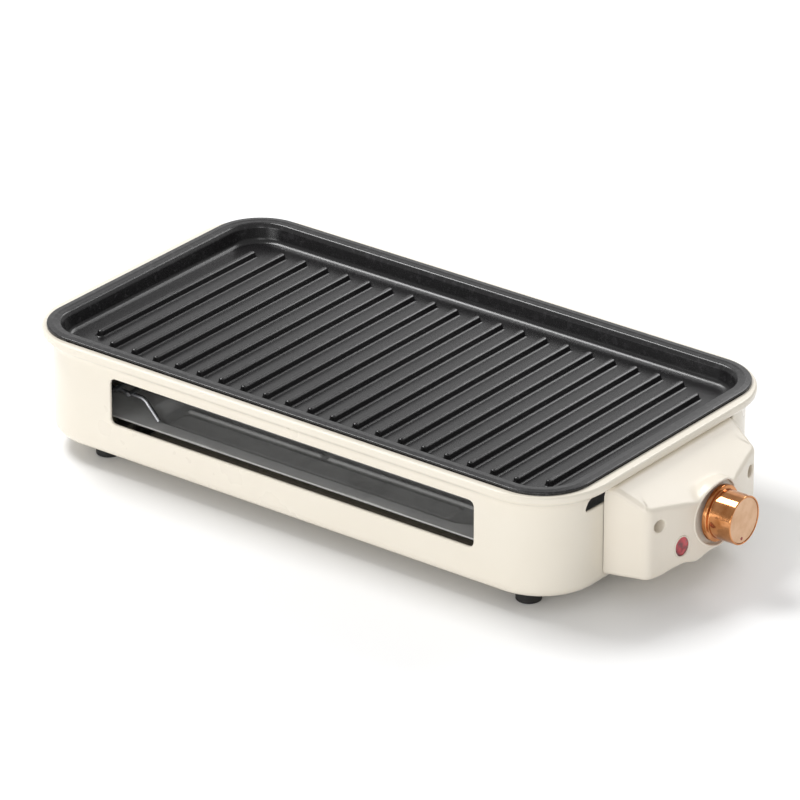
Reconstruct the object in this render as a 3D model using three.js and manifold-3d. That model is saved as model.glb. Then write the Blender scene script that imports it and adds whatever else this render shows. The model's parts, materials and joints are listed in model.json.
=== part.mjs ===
// Electric griddle: a ribbed non-stick pan on a drawn steel body, heated by a bent tubular element
// over a polished reflector, with a moulded control housing, knob and lamp on one end.
// Millimetres. The table is z = 0, +X points to the control end and -Y to the front window.

import * as THREE from 'three';
import { mergeVertices } from 'three/addons/utils/BufferGeometryUtils.js';
import Module from 'manifold-3d';

const wasm = await Module();
wasm.setup();

// ---------------------------------------------------------------- driving dimensions

const GAP = 0.3;                 // clearance between pieces that touch
const THROUGH = 5;               // how far a cutting tool reaches beyond a wall
const CORNER_STEPS = 4;          // smoothness of the body's plan corners
const ROUND_SIDES = 20;          // sides of a small turned piece

const BODY_HALF_X = 212;         // outside of the drawn wall
const BODY_HALF_Y = 115.5;
const BODY_CORNER = 42;
const BODY_SHEET = 1.6;
const BODY_FLOOR_Z = 12;         // underside of the body above the table
const BODY_EDGE = 12;            // radius between wall and floor
const LIP_REACH = 7;             // flared lip beyond the wall
const LIP_START_Z = 72.5;
const LIP_TOP_Z = 85.5;

const WINDOW = { left: -142, right: 149, bottom: 37, top: 69, corner: 4 };
const END_SLOT = { left: -84, right: 72, bottom: 67.5, top: 77, corner: 3, lean: 5.5 };
const WIRING_OPENING = { halfY: 36, bottom: 52, top: 66 };

const PAN_HALF_X = 212;
const PAN_HALF_Y = 117;
const PAN_CORNER = 35;
const PAN_TOP_Z = 88;
const PAN_RIM = 2.2;             // thickness of the pan's rim
const PAN_FLOOR_Z = 74.6;
const PAN_UNDERSIDE_Z = 71.4;
const RIB = { count: 21, pitch: 18, halfLength: 89.6, endCut: 9, base: 2.8, crest: 1.8, height: 4.2 };
const RIB_CENTRE_X = -0.6;

const TRAY_TOP_Z = 37;           // flange of the reflector
const TRAY_SHEET = 1;
const TRAY_FLOOR_Z = 32;
const TRAY_FLANGE = { halfX: 176, halfY: 105, corner: 6 };
const TRAY_BASIN = { halfX: 137, halfY: 95, corner: 20 };
const TRAY_FLOOR = { halfX: 127, halfY: 85, corner: 14 };
const STAND = { x: 156, sheet: 1.4, halfTop: 8, foot: 7, halfLength: 84 };

const ELEMENT_R = 3.3;
const ELEMENT_OUTER_Y = 78;      // outer limbs
const ELEMENT_INNER_Y = 26;      // inner limbs
const ELEMENT_LEFT_X = -165;
const ELEMENT_RETURN_X = 150;
const ELEMENT_JOG_X = 187;
const ELEMENT_TAIL_Y = 24;       // cold tails, out to the control housing
const ELEMENT_TAIL_X = 216;
const ELEMENT_BEND = 13;
const ELEMENT_PLATE = { sheet: 1.5, halfY: 40, bottom: 49, top: 69 };
const ELEMENT_BUSH = { boreR: 1.6, headR: 4, head: 2, neckR: 3.2, length: 7 };
const ELEMENT_PIN = { r: 1.2, end: ELEMENT_TAIL_X + 16 };

const WIRE_R = 1.5;              // trestle that carries the element's far end
const TRESTLE_Y = 97;
const TRESTLE_TOP_Z = 51.6;
const TRESTLE_X = { footLeft: -173, left: -162, right: -129, footRight: -117 };
const TRESTLE_BEND = 5;
const CROSS_WIRES_X = [-149, -137.5];
const CROSS_REACH = 6;           // cross wires beyond the rods
const WELD = 0.4;                // how far welded wires sink into each other
const CROSS_WIRE_Z = TRESTLE_TOP_Z + 2 * WIRE_R - WELD;
const ELEMENT_Z = CROSS_WIRE_Z + WIRE_R + GAP + ELEMENT_R;

const HOUSING_BACK_X = BODY_HALF_X + GAP;
const HOUSING_WALL = 2.5;
const HOUSING_RIDGE_X = 218;     // level strip behind the sloping top
const HOUSING_RIDGE_Z = 79;
const HOUSING_SLOPE = 0.55;      // fall of the top face per millimetre of x
const HOUSING_BACK_HALF_Y = 66;
const HOUSING_SHOULDER = { x: 235.4, y: 59.2 };
const HOUSING_CORNER = { x: 239.4, y: 57.2 };
const HOUSING_BOTTOM_Z = 18;
const HOUSING_BOTTOM_RISE = 0.36; // rise of the underside per millimetre of x beyond the corner
const HOUSING_CHAMFER = 2.4;
const BOW = { nose: 257, round: 3, slope: 0.295, endY: 56 };

const KNOB_Z = 47.8;
const BACK_PLATE = { sheet: 1.2, halfY: 40, margin: 6.5, lap: 4 };
const WELL = { r: 21, floorX: 249.5, floor: 2, wall: 1.6 };
const KNOB = { backX: 252.4, skirtX: 255.4, faceX: 272, skirtR: 18.5, barrelR: 16, capR: 14.8, capDepth: 1.8,
  capSink: 0.3, hollow: 3.2, hollowR: 9, boreEndX: 267 };
const INDEX = { r: 1.1, down: 11.7, side: -2.2, deep: 0.7 };
const SHAFT_R = 3;
const BUSH = { r: 4.6, endX: 252 };
const NUT_R = 7;
const THERMOSTAT = { backX: 222, frontX: 243, halfY: 14, halfZ: 12, boreX: 236 };
const TERMINALS = { x0: 219, x1: 231, y0: 34, y1: 52, z0: 26, z1: 37, screwR: 1.6, screwDepth: 4 };
const LEAD = { r: 1.1, bend: 3, lowZ: 26.5, midZ: 32, offset: 4, columnX: 222.5, blockX: 226, rowY: 20 };

const LAMP = { y: -31.3, z: 34.7, bezelR: 5.9, lensR: 5, bodyR: 4.2, depth: 15, tall: 1.24 };
const SCREW = { y: 48.5, z: 54, recessR: 4.25, headR: 3.5, head: 2.4, shankR: 2, seatX: 223, bossWall: 1.6 };
const GLAND = { x: 226, z: 32, r: 5.5, neckR: 4, boreR: 2.5, proud: 2.4, neck: 8 };

const FOOT = { leftX: -165, rightX: 174, y: 91, topR: 9, bottomR: 8.3 };
const FOOT_SCREW = { headR: 3.6, shankR: 2, recess: 4 };

// ---------------------------------------------------------------- finishes

const finish = (color, roughness, metalness) =>
  new THREE.MeshStandardMaterial({ color, roughness, metalness });
const CREAM_PAINT = finish(0xe6dfd0, 0.35, 0.1);
const CREAM_PLASTIC = finish(0xece5d6, 0.4, 0);
const NON_STICK = finish(0x3a3938, 0.45, 0.3);
const POLISHED_STEEL = finish(0xb4b4b2, 0.25, 1);
const SATIN_STEEL = finish(0x9a9a98, 0.45, 1);
const SHEATH = finish(0x4c4a48, 0.5, 0.8);
const COPPER = finish(0xc98a63, 0.2, 1);
const BLACK_RUBBER = finish(0x1b1a1a, 0.7, 0);
const BLACK_PLASTIC = finish(0x24211f, 0.5, 0);
const RED_LENS = finish(0x7e1020, 0.1, 0);
const CERAMIC = finish(0xe9e6dc, 0.5, 0);
const BRASS = finish(0xb9974f, 0.35, 1);
const SILICONE = finish(0xd8d2c4, 0.6, 0);

// ---------------------------------------------------------------- geometry helpers

/** Turns a geometry's faces outwards if its enclosed volume comes out negative. */
function facingOut(geometry) {
  const bare = geometry.clone();
  bare.deleteAttribute('normal');
  bare.deleteAttribute('uv');
  const merged = mergeVertices(bare, 1e-4);
  const point = merged.attributes.position;
  const index = Array.from(merged.index.array);
  const [a, b, c] = [new THREE.Vector3(), new THREE.Vector3(), new THREE.Vector3()];
  let volume = 0;
  for (let i = 0; i < index.length; i += 3) {
    a.fromBufferAttribute(point, index[i]);
    b.fromBufferAttribute(point, index[i + 1]);
    c.fromBufferAttribute(point, index[i + 2]);
    volume += a.dot(b.cross(c));
  }
  merged.setIndex(volume < 0 ? index.reverse() : index);
  return merged;
}

function solidOf(geometry) {
  const closed = facingOut(geometry);
  const vertProperties = new Float32Array(closed.attributes.position.array);
  const triVerts = new Uint32Array(closed.index.array);
  return new wasm.Manifold(new wasm.Mesh({ numProp: 3, vertProperties, triVerts }));
}

function geometryOf(solid) {
  const mesh = solid.getMesh();
  const geometry = new THREE.BufferGeometry();
  geometry.setAttribute('position', new THREE.BufferAttribute(mesh.vertProperties, 3));
  geometry.setIndex(new THREE.BufferAttribute(mesh.triVerts, 1));
  return geometry;
}

/** The first geometry with the others cut out of it. */
function cut(body, ...tools) {
  return geometryOf(tools.reduce((left, tool) => left.subtract(solidOf(tool)), solidOf(body)));
}

/** One solid from geometries that overlap. */
function join(body, ...others) {
  return geometryOf(others.reduce((left, other) => left.add(solidOf(other)), solidOf(body)));
}

/** Points of a rounded rectangle in the xy plane, anticlockwise, at height z. */
function roundedRing(halfX, halfY, corner, z, steps = CORNER_STEPS) {
  const outline = new THREE.Shape();
  const cx = halfX - corner;
  const cy = halfY - corner;
  outline.absarc(cx, -cy, corner, -Math.PI / 2, 0);
  outline.absarc(cx, cy, corner, 0, Math.PI / 2);
  outline.absarc(-cx, cy, corner, Math.PI / 2, Math.PI);
  outline.absarc(-cx, -cy, corner, Math.PI, 1.5 * Math.PI);
  const ring = outline.getPoints(steps).map((p) => new THREE.Vector3(p.x, p.y, z));
  return ring.filter((p, i) => i === 0 || p.distanceTo(ring[i - 1]) > 1e-5);
}

/** Closed solid through rings of equal point count, with flat ends. */
function loft(rings) {
  const count = rings[0].length;
  const index = [];
  for (let ring = 0; ring + 1 < rings.length; ring += 1) {
    for (let i = 0; i < count; i += 1) {
      const a = ring * count + i;
      const b = ring * count + ((i + 1) % count);
      index.push(a, b, b + count, a, b + count, a + count);
    }
  }
  const last = (rings.length - 1) * count;
  for (let i = 1; i + 1 < count; i += 1) {
    index.push(0, i + 1, i);
    index.push(last, last + i, last + i + 1);
  }
  const geometry = new THREE.BufferGeometry().setFromPoints(rings.flat());
  geometry.setIndex(index);
  return geometry;
}

/** Points [offset, z] of an arc that starts and ends at the given angles in degrees. */
function arc(offset, z, radius, from, to, steps) {
  return Array.from({ length: steps + 1 }, (_, i) => {
    const angle = THREE.MathUtils.degToRad(from + ((to - from) * i) / steps);
    return [offset + radius * Math.cos(angle), z + radius * Math.sin(angle)];
  });
}

/** Solid of revolution about the x axis through (0, y, z); the profile holds [x, radius] points. */
function turnedAlongX(profile, y, z, sides = ROUND_SIDES) {
  const points = profile.map(([x, radius]) => new THREE.Vector2(radius, x));
  return new THREE.LatheGeometry(points, sides).rotateZ(-Math.PI / 2).translate(0, y, z);
}

function rodAlongX(fromX, toX, radius, y, z, sides = ROUND_SIDES) {
  return turnedAlongX([[fromX, 0], [fromX, radius], [toX, radius], [toX, 0]], y, z, sides);
}

/** Cylinder or cone about the z axis through (x, y). */
function rodAlongZ(fromZ, toZ, bottomR, topR, x, y, sides = ROUND_SIDES) {
  const middle = (fromZ + toZ) / 2;
  return new THREE.CylinderGeometry(topR, bottomR, toZ - fromZ, sides).rotateX(Math.PI / 2)
    .translate(x, y, middle);
}

function block(x0, x1, y0, y1, z0, z1) {
  return new THREE.BoxGeometry(x1 - x0, y1 - y0, z1 - z0)
    .translate((x0 + x1) / 2, (y0 + y1) / 2, (z0 + z1) / 2);
}

/** Rounded rectangle drawn in x and z and carried along y; its left end leans right by lean at the top. */
function panelAlongY({ left, right, bottom, top, corner, lean = 0 }, fromY, toY) {
  const ring = roundedRing((right - left) / 2, (top - bottom) / 2, corner, 0, 2);
  const shift = (p) => (p.x < 0 ? lean * (p.y / (top - bottom) + 0.5) : 0);
  const shape = new THREE.Shape(ring.map((p) => new THREE.Vector2(p.x + shift(p), p.y)));
  return new THREE.ExtrudeGeometry(shape, { depth: toY - fromY, bevelEnabled: false })
    .rotateX(Math.PI / 2)
    .translate((left + right) / 2, toY, (bottom + top) / 2);
}

/** Round bar whose straight runs meet in bends of one radius. */
function bentBar(corners, bend, radius, sides, steps) {
  const path = new THREE.CurvePath();
  let from = corners[0];
  for (let i = 1; i + 1 < corners.length; i += 1) {
    const towardsBack = corners[i - 1].clone().sub(corners[i]).normalize();
    const towardsNext = corners[i + 1].clone().sub(corners[i]).normalize();
    const enter = corners[i].clone().addScaledVector(towardsBack, bend);
    const leave = corners[i].clone().addScaledVector(towardsNext, bend);
    path.add(new THREE.LineCurve3(from, enter));
    path.add(new THREE.QuadraticBezierCurve3(enter, corners[i], leave));
    from = leave;
  }
  path.add(new THREE.LineCurve3(from, corners[corners.length - 1]));
  const round = new THREE.EllipseCurve(0, 0, radius, radius).getPoints(sides);
  const section = new THREE.Shape(round.slice(0, -1));
  return facingOut(new THREE.ExtrudeGeometry(section, { extrudePath: path, steps, bevelEnabled: false }));
}

const at = (x, y, z) => new THREE.Vector3(x, y, z);

// ---------------------------------------------------------------- body and pan

/** Outside of the drawn body as [offset from the wall, z], from the floor to the top of the lip. */
const BODY_PROFILE = [
  ...arc(-BODY_EDGE, BODY_FLOOR_Z + BODY_EDGE, BODY_EDGE, -90, 0, 4),
  [0, LIP_START_Z],
  [LIP_REACH * 0.1, LIP_START_Z + 4],
  [LIP_REACH * 0.4, LIP_START_Z + 7.5],
  [LIP_REACH * 0.9, LIP_TOP_Z - 3],
  [LIP_REACH, LIP_TOP_Z - 1.7],
  [LIP_REACH * 0.75, LIP_TOP_Z],
];

const bodyRing = ([offset, z]) =>
  roundedRing(BODY_HALF_X + offset, BODY_HALF_Y + offset, BODY_CORNER + offset, z);

/** Filled outside of the body, grown all round, as a tool that fits pieces against it. */
function bodyForm(grow) {
  return loft(BODY_PROFILE.map(([offset, z]) => bodyRing([offset + grow, z])));
}

function outerShell() {
  const rings = [
    ...BODY_PROFILE,
    [-BODY_SHEET, LIP_TOP_Z],
    ...arc(-BODY_EDGE, BODY_FLOOR_Z + BODY_EDGE, BODY_EDGE - BODY_SHEET, 0, -90, 4),
  ].map(bodyRing);
  const tools = [
    panelAlongY(WINDOW, -BODY_HALF_Y - THROUGH, -BODY_HALF_Y + THROUGH),
    panelAlongY(END_SLOT, -BODY_HALF_X - THROUGH, -BODY_HALF_X + THROUGH).rotateZ(Math.PI / 2),
    block(BODY_HALF_X - THROUGH, BODY_HALF_X + THROUGH, -WIRING_OPENING.halfY, WIRING_OPENING.halfY,
      WIRING_OPENING.bottom, WIRING_OPENING.top),
    ...footPlaces().map(([x, y]) => rodAlongZ(BODY_FLOOR_Z - 2, BODY_FLOOR_Z + 4,
      FOOT_SCREW.shankR + GAP, FOOT_SCREW.shankR + GAP, x, y, 12)),
    ...[-1, 1].map((side) => rodAlongX(BODY_HALF_X - THROUGH, BODY_HALF_X + THROUGH, SCREW.shankR + GAP,
      side * SCREW.y, SCREW.z, 12)),
  ];
  return cut(loft(rings), ...tools);
}

function panRib(number) {
  const outermost = number === 0 || number === RIB.count - 1;
  const halfLength = RIB.halfLength - (outermost ? RIB.endCut : 0);
  const x = RIB_CENTRE_X + (number - (RIB.count - 1) / 2) * RIB.pitch;
  const rings = [
    roundedRing(RIB.base, halfLength, RIB.base * 0.98, PAN_FLOOR_Z - 1, 1),
    roundedRing(RIB.crest, halfLength - RIB.base + RIB.crest, RIB.crest * 0.98, PAN_FLOOR_Z + RIB.height, 1),
  ];
  return loft(rings).translate(x, 0, 0);
}

function griddlePan() {
  const rimUnder = PAN_TOP_Z - PAN_RIM;
  const profile = [
    [-15, PAN_UNDERSIDE_Z],
    [-12.2, PAN_UNDERSIDE_Z + 1.5],
    [-10.8, PAN_FLOOR_Z + 2.2],
    [-9.6, rimUnder],
    [-0.7, rimUnder],
    [0, rimUnder + 0.8],
    [0, PAN_TOP_Z - 0.9],
    [-0.8, PAN_TOP_Z],
    [-9.2, PAN_TOP_Z],
    [-10.9, PAN_TOP_Z - 1.2],
    [-12, PAN_TOP_Z - 3.4],
    [-13.2, PAN_FLOOR_Z + 2.6],
    [-14, PAN_FLOOR_Z + 0.9],
    [-15.8, PAN_FLOOR_Z],
  ];
  const rings = profile.map(([offset, z]) =>
    roundedRing(PAN_HALF_X + offset, PAN_HALF_Y + offset, PAN_CORNER + offset, z));
  return join(loft(rings), ...Array.from({ length: RIB.count }, (_, number) => panRib(number)));
}

// ---------------------------------------------------------------- reflector and its stands

function reflectorTray() {
  const { halfX, halfY, corner } = TRAY_FLANGE;
  const under = TRAY_TOP_Z - TRAY_SHEET;
  return loft([
    roundedRing(TRAY_FLOOR.halfX, TRAY_FLOOR.halfY, TRAY_FLOOR.corner, TRAY_FLOOR_Z - TRAY_SHEET),
    roundedRing(TRAY_BASIN.halfX, TRAY_BASIN.halfY, TRAY_BASIN.corner, under),
    roundedRing(halfX, halfY, corner, under),
    roundedRing(halfX, halfY, corner, TRAY_TOP_Z),
    roundedRing(TRAY_BASIN.halfX, TRAY_BASIN.halfY, TRAY_BASIN.corner, TRAY_TOP_Z),
    roundedRing(TRAY_FLOOR.halfX, TRAY_FLOOR.halfY, TRAY_FLOOR.corner, TRAY_FLOOR_Z),
  ]);
}

/** Top-hat strip of sheet steel that stands on the body floor and carries the reflector's flange. */
function reflectorStand(x) {
  const { sheet, halfTop, foot, halfLength } = STAND;
  const bottom = BODY_FLOOR_Z + BODY_SHEET + GAP;
  const top = TRAY_TOP_Z - TRAY_SHEET - GAP;
  const outline = [
    [-halfTop - foot, bottom], [-halfTop + sheet, bottom], [-halfTop + sheet, top - sheet],
    [halfTop - sheet, top - sheet], [halfTop - sheet, bottom], [halfTop + foot, bottom],
    [halfTop + foot, bottom + sheet], [halfTop, bottom + sheet], [halfTop, top],
    [-halfTop, top], [-halfTop, bottom + sheet], [-halfTop - foot, bottom + sheet],
  ];
  const shape = new THREE.Shape(outline.map(([px, pz]) => new THREE.Vector2(px, pz)));
  return new THREE.ExtrudeGeometry(shape, { depth: 2 * halfLength, bevelEnabled: false })
    .rotateX(Math.PI / 2)
    .translate(x, halfLength, 0);
}

// ---------------------------------------------------------------- heating element

function heatingElement() {
  const half = (side) => [
    at(ELEMENT_TAIL_X, side * ELEMENT_TAIL_Y, ELEMENT_Z),
    at(ELEMENT_JOG_X, side * ELEMENT_TAIL_Y, ELEMENT_Z),
    at(ELEMENT_JOG_X, side * ELEMENT_OUTER_Y, ELEMENT_Z),
    at(ELEMENT_LEFT_X, side * ELEMENT_OUTER_Y, ELEMENT_Z),
    at(ELEMENT_LEFT_X, side * ELEMENT_INNER_Y, ELEMENT_Z),
    at(ELEMENT_RETURN_X, side * ELEMENT_INNER_Y, ELEMENT_Z),
  ];
  return bentBar([...half(-1), ...half(1).reverse()], ELEMENT_BEND, ELEMENT_R, 8, 120);
}

function elementPlate() {
  const back = BODY_HALF_X - BODY_SHEET - GAP;
  const { sheet, halfY, bottom, top } = ELEMENT_PLATE;
  const plate = block(back - sheet, back, -halfY, halfY, bottom, top);
  const holes = [-1, 1].map((side) => rodAlongX(back - THROUGH, back + THROUGH, ELEMENT_R + GAP,
    side * ELEMENT_TAIL_Y, ELEMENT_Z));
  return cut(plate, ...holes);
}

function elementBush(side) {
  const start = ELEMENT_TAIL_X + GAP;
  const { boreR, headR, head, neckR, length } = ELEMENT_BUSH;
  return turnedAlongX([[start, boreR], [start, headR], [start + head, headR], [start + head, neckR],
    [start + length, neckR], [start + length, boreR], [start, boreR]], side * ELEMENT_TAIL_Y, ELEMENT_Z, 14);
}

function elementPin(side) {
  const start = ELEMENT_TAIL_X + GAP;
  return rodAlongX(start, ELEMENT_PIN.end, ELEMENT_PIN.r, side * ELEMENT_TAIL_Y, ELEMENT_Z, 10);
}

/** Wire trestle on the reflector's flange: two bent rods and the cross wires welded over them. */
function elementTrestle() {
  const footZ = TRAY_TOP_Z + GAP + WIRE_R;
  const rods = [-1, 1].map((side) => bentBar([
    at(TRESTLE_X.footLeft, side * TRESTLE_Y, footZ), at(TRESTLE_X.left, side * TRESTLE_Y, TRESTLE_TOP_Z),
    at(TRESTLE_X.right, side * TRESTLE_Y, TRESTLE_TOP_Z), at(TRESTLE_X.footRight, side * TRESTLE_Y, footZ),
  ], TRESTLE_BEND, WIRE_R, 8, 16));
  const reach = TRESTLE_Y + CROSS_REACH;
  const crossWires = CROSS_WIRES_X.map((x) =>
    new THREE.CylinderGeometry(WIRE_R, WIRE_R, 2 * reach, 8).translate(x, 0, CROSS_WIRE_Z));
  return join(rods[0], rods[1], ...crossWires);
}

// ---------------------------------------------------------------- control housing

/** How far the bowed front face reaches in x at a given y. */
const bowX = (y) => BOW.nose - Math.hypot(BOW.round, BOW.slope * y);

/** Half of the housing's plan, from its back edge round the corner to the middle of the bow. */
function housingPlan(inset) {
  const half = [
    [HOUSING_BACK_X, HOUSING_BACK_HALF_Y],
    [HOUSING_SHOULDER.x, HOUSING_SHOULDER.y],
    [HOUSING_CORNER.x, HOUSING_CORNER.y],
    ...[0.95, 0.75, 0.5, 0.25].map((part) => [bowX(part * BOW.endY), part * BOW.endY]),
    [bowX(0), 0],
  ].map(([x, y]) => [x > HOUSING_BACK_X ? x - inset : HOUSING_BACK_X - inset, Math.max(0, y - inset)]);
  const mirrored = half.slice(0, -1).map(([x, y]) => [x, -y]);
  return [...mirrored, ...half.reverse()];
}

/** Body of the housing drawn in by the inset: its plan carried up, then cut by the sloping top. */
function housingForm(inset) {
  const bottom = HOUSING_BOTTOM_Z + inset;
  const top = HOUSING_RIDGE_Z - inset;
  const topChamfer = 1;
  const ring = (drawnIn, z, rise = 0) => housingPlan(inset).map(([x, y]) => {
    const onBack = x <= HOUSING_BACK_X;
    const lift = rise * Math.max(0, x - HOUSING_CORNER.x);
    return at(onBack ? x : x - drawnIn, y - Math.sign(y) * drawnIn, z + lift);
  });
  const rings = [ring(HOUSING_CHAMFER, bottom, HOUSING_BOTTOM_RISE),
    ring(0, bottom + HOUSING_CHAMFER, HOUSING_BOTTOM_RISE), ring(0, top - topChamfer),
    ring(topChamfer, top)];
  const tilt = Math.atan(HOUSING_SLOPE);
  const above = block(0, 120, -100, 100, 0, 60)
    .rotateY(tilt)
    .translate(HOUSING_RIDGE_X, 0, HOUSING_RIDGE_Z - inset / Math.cos(tilt));
  return cut(loft(rings), above);
}

const LAMP_LEAN = Math.atan(BOW.slope * BOW.slope * LAMP.y / Math.hypot(BOW.round, BOW.slope * LAMP.y));

/** Turned tool or piece, taller than wide, whose axis leaves the bowed face squarely at the lamp. */
function onLampAxis(profile, sides = ROUND_SIDES) {
  return turnedAlongX(profile, 0, 0, sides).scale(1, 1, LAMP.tall).rotateZ(LAMP_LEAN)
    .translate(bowX(LAMP.y), LAMP.y, LAMP.z);
}

/** Point on the lamp's axis, a distance behind the bowed face. */
const behindLamp = (depth, z) =>
  at(bowX(LAMP.y) - depth * Math.cos(LAMP_LEAN), LAMP.y - depth * Math.sin(LAMP_LEAN), z);

function controlHousing() {
  const bossR = SCREW.recessR + SCREW.bossWall;
  const bosses = [-1, 1].map((side) =>
    rodAlongX(HOUSING_BACK_X, HOUSING_CORNER.x, bossR, side * SCREW.y, SCREW.z, 16));
  const shell = join(cut(housingForm(0), housingForm(HOUSING_WALL)),
    rodAlongX(WELL.floorX - WELL.floor, bowX(WELL.r / 2), WELL.r + WELL.wall, 0, KNOB_Z, 28), ...bosses);
  const beyond = BOW.nose + THROUGH;
  const recesses = [-1, 1].flatMap((side) => [
    rodAlongX(SCREW.seatX, beyond, SCREW.recessR, side * SCREW.y, SCREW.z, 16),
    rodAlongX(HOUSING_BACK_X - THROUGH, beyond, SCREW.shankR + GAP, side * SCREW.y, SCREW.z, 12),
  ]);
  return cut(shell,
    rodAlongX(WELL.floorX, beyond, WELL.r, 0, KNOB_Z, 28),
    rodAlongX(WELL.floorX - THROUGH, beyond, BUSH.r + GAP, 0, KNOB_Z),
    onLampAxis([[-LAMP.depth, 0], [-LAMP.depth, LAMP.bodyR + GAP], [THROUGH, LAMP.bodyR + GAP],
      [THROUGH, 0]]),
    ...recesses,
    glandTool(GLAND.neckR + GAP, 4 * THROUGH, GLAND_Y - 2 * THROUGH),
    bodyForm(GAP * 1.2));
}

/** Outside of the housing's far side wall where the gland's collar first meets it. */
const GLAND_Y = THREE.MathUtils.mapLinear(GLAND.x - GLAND.r, HOUSING_BACK_X, HOUSING_SHOULDER.x,
  HOUSING_BACK_HALF_Y, HOUSING_SHOULDER.y);

/** Cylinder along y through the housing's far side wall at the cord's gland. */
function glandTool(radius, reach, fromY) {
  return new THREE.CylinderGeometry(radius, radius, reach, ROUND_SIDES)
    .translate(GLAND.x, fromY + reach / 2, GLAND.z);
}

function cordGland() {
  const collarY = GLAND_Y + GAP;
  const neck = glandTool(GLAND.neckR, GLAND.neck, collarY + 1 - GLAND.neck);
  const collar = glandTool(GLAND.r, GLAND.proud, collarY);
  const bore = glandTool(GLAND.boreR, 2 * GLAND.neck + GLAND.proud, collarY - 1.5 * GLAND.neck);
  return cut(join(neck, collar), bore);
}

function housingBackPlate() {
  const x0 = HOUSING_BACK_X + GAP;
  const { sheet, halfY, margin, lap } = BACK_PLATE;
  const plate = block(x0, x0 + sheet, -halfY, halfY, HOUSING_BOTTOM_Z + margin, HOUSING_RIDGE_Z - margin);
  const opening = block(x0 - THROUGH, x0 + THROUGH, -WIRING_OPENING.halfY + lap, WIRING_OPENING.halfY - lap,
    WIRING_OPENING.bottom, WIRING_OPENING.top);
  return cut(plate, opening);
}

function housingScrew(side) {
  const head = SCREW.seatX + GAP;
  const end = BODY_HALF_X - THROUGH - 1;
  return turnedAlongX([[end, 0], [end, SCREW.shankR], [head, SCREW.shankR], [head, SCREW.headR],
    [head + SCREW.head, SCREW.headR * 0.8], [head + SCREW.head, 0]], side * SCREW.y, SCREW.z, 14);
}

// ---------------------------------------------------------------- knob, thermostat and lamp

function knobBody() {
  const boreR = SHAFT_R + GAP;
  const hollowX = KNOB.backX + KNOB.hollow;
  const rimX = KNOB.faceX - KNOB.capDepth;
  return turnedAlongX([
    [KNOB.boreEndX, 0], [KNOB.boreEndX, boreR], [hollowX, boreR], [hollowX, KNOB.hollowR],
    [KNOB.backX, KNOB.hollowR], [KNOB.backX, KNOB.skirtR], [KNOB.skirtX - 0.5, KNOB.skirtR],
    [KNOB.skirtX, KNOB.skirtR - 0.7], [KNOB.skirtX + 0.3, KNOB.barrelR], [KNOB.faceX - 0.6, KNOB.barrelR],
    [KNOB.faceX, KNOB.barrelR - 0.6], [KNOB.faceX, KNOB.capR + GAP], [rimX, KNOB.capR + GAP], [rimX, 0],
  ], 0, KNOB_Z, 32);
}

function knobCap() {
  const front = KNOB.faceX - KNOB.capSink;
  const disc = rodAlongX(KNOB.faceX - KNOB.capDepth + GAP, front, KNOB.capR, 0, KNOB_Z, 32);
  const pocketR = INDEX.r + GAP / 2;
  return cut(disc, rodAlongX(front - INDEX.deep, front + 1, pocketR, INDEX.side, KNOB_Z - INDEX.down, 12));
}

function knobIndex() {
  const front = KNOB.faceX - KNOB.capSink;
  return rodAlongX(front - INDEX.deep + GAP / 2, front, INDEX.r, INDEX.side, KNOB_Z - INDEX.down, 12);
}

function thermostatBody() {
  const box = block(THERMOSTAT.backX, THERMOSTAT.frontX, -THERMOSTAT.halfY, THERMOSTAT.halfY,
    KNOB_Z - THERMOSTAT.halfZ, KNOB_Z + THERMOSTAT.halfZ);
  const bush = rodAlongX(THERMOSTAT.frontX - 1, BUSH.endX, BUSH.r, 0, KNOB_Z);
  return cut(join(box, bush), rodAlongX(THERMOSTAT.boreX, BUSH.endX + THROUGH, SHAFT_R + GAP, 0, KNOB_Z));
}

function thermostatShaft() {
  return rodAlongX(THERMOSTAT.boreX + GAP, KNOB.boreEndX - GAP, SHAFT_R, 0, KNOB_Z, 16);
}

function thermostatNut() {
  const back = WELL.floorX + GAP;
  return turnedAlongX([[back, BUSH.r + GAP], [back, NUT_R], [BUSH.endX, NUT_R], [BUSH.endX, BUSH.r + GAP],
    [back, BUSH.r + GAP]], 0, KNOB_Z, 18);
}

function lampBody() {
  return onLampAxis([[-LAMP.depth, 0], [-LAMP.depth, LAMP.bodyR], [-GAP, LAMP.bodyR], [-GAP, 0]]);
}

function lampBezel() {
  const innerR = LAMP.lensR + GAP;
  return onLampAxis([[GAP, innerR], [GAP, LAMP.bezelR], [1.2, LAMP.bezelR - 0.2], [1.2, innerR],
    [GAP, innerR]], 24);
}

function lampLens() {
  return onLampAxis([[GAP, 0], [GAP, LAMP.lensR], [1.1, LAMP.lensR], [1.9, LAMP.lensR * 0.7],
    [2.2, LAMP.lensR * 0.35], [2.3, 0]], 24);
}

// ---------------------------------------------------------------- wiring

function terminalBlock() {
  const { x0, x1, y0, y1, z0, z1, screwR, screwDepth } = TERMINALS;
  const screws = [0.3, 0.7].map((part) =>
    rodAlongZ(z1 - screwDepth, z1 + 1, screwR, screwR, (x0 + x1) / 2, y0 + part * (y1 - y0), 10));
  return cut(block(x0, x1, y0, y1, z0, z1), ...screws);
}

function lead(...corners) {
  return bentBar(corners, LEAD.bend, LEAD.r, 6, 16);
}

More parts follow.
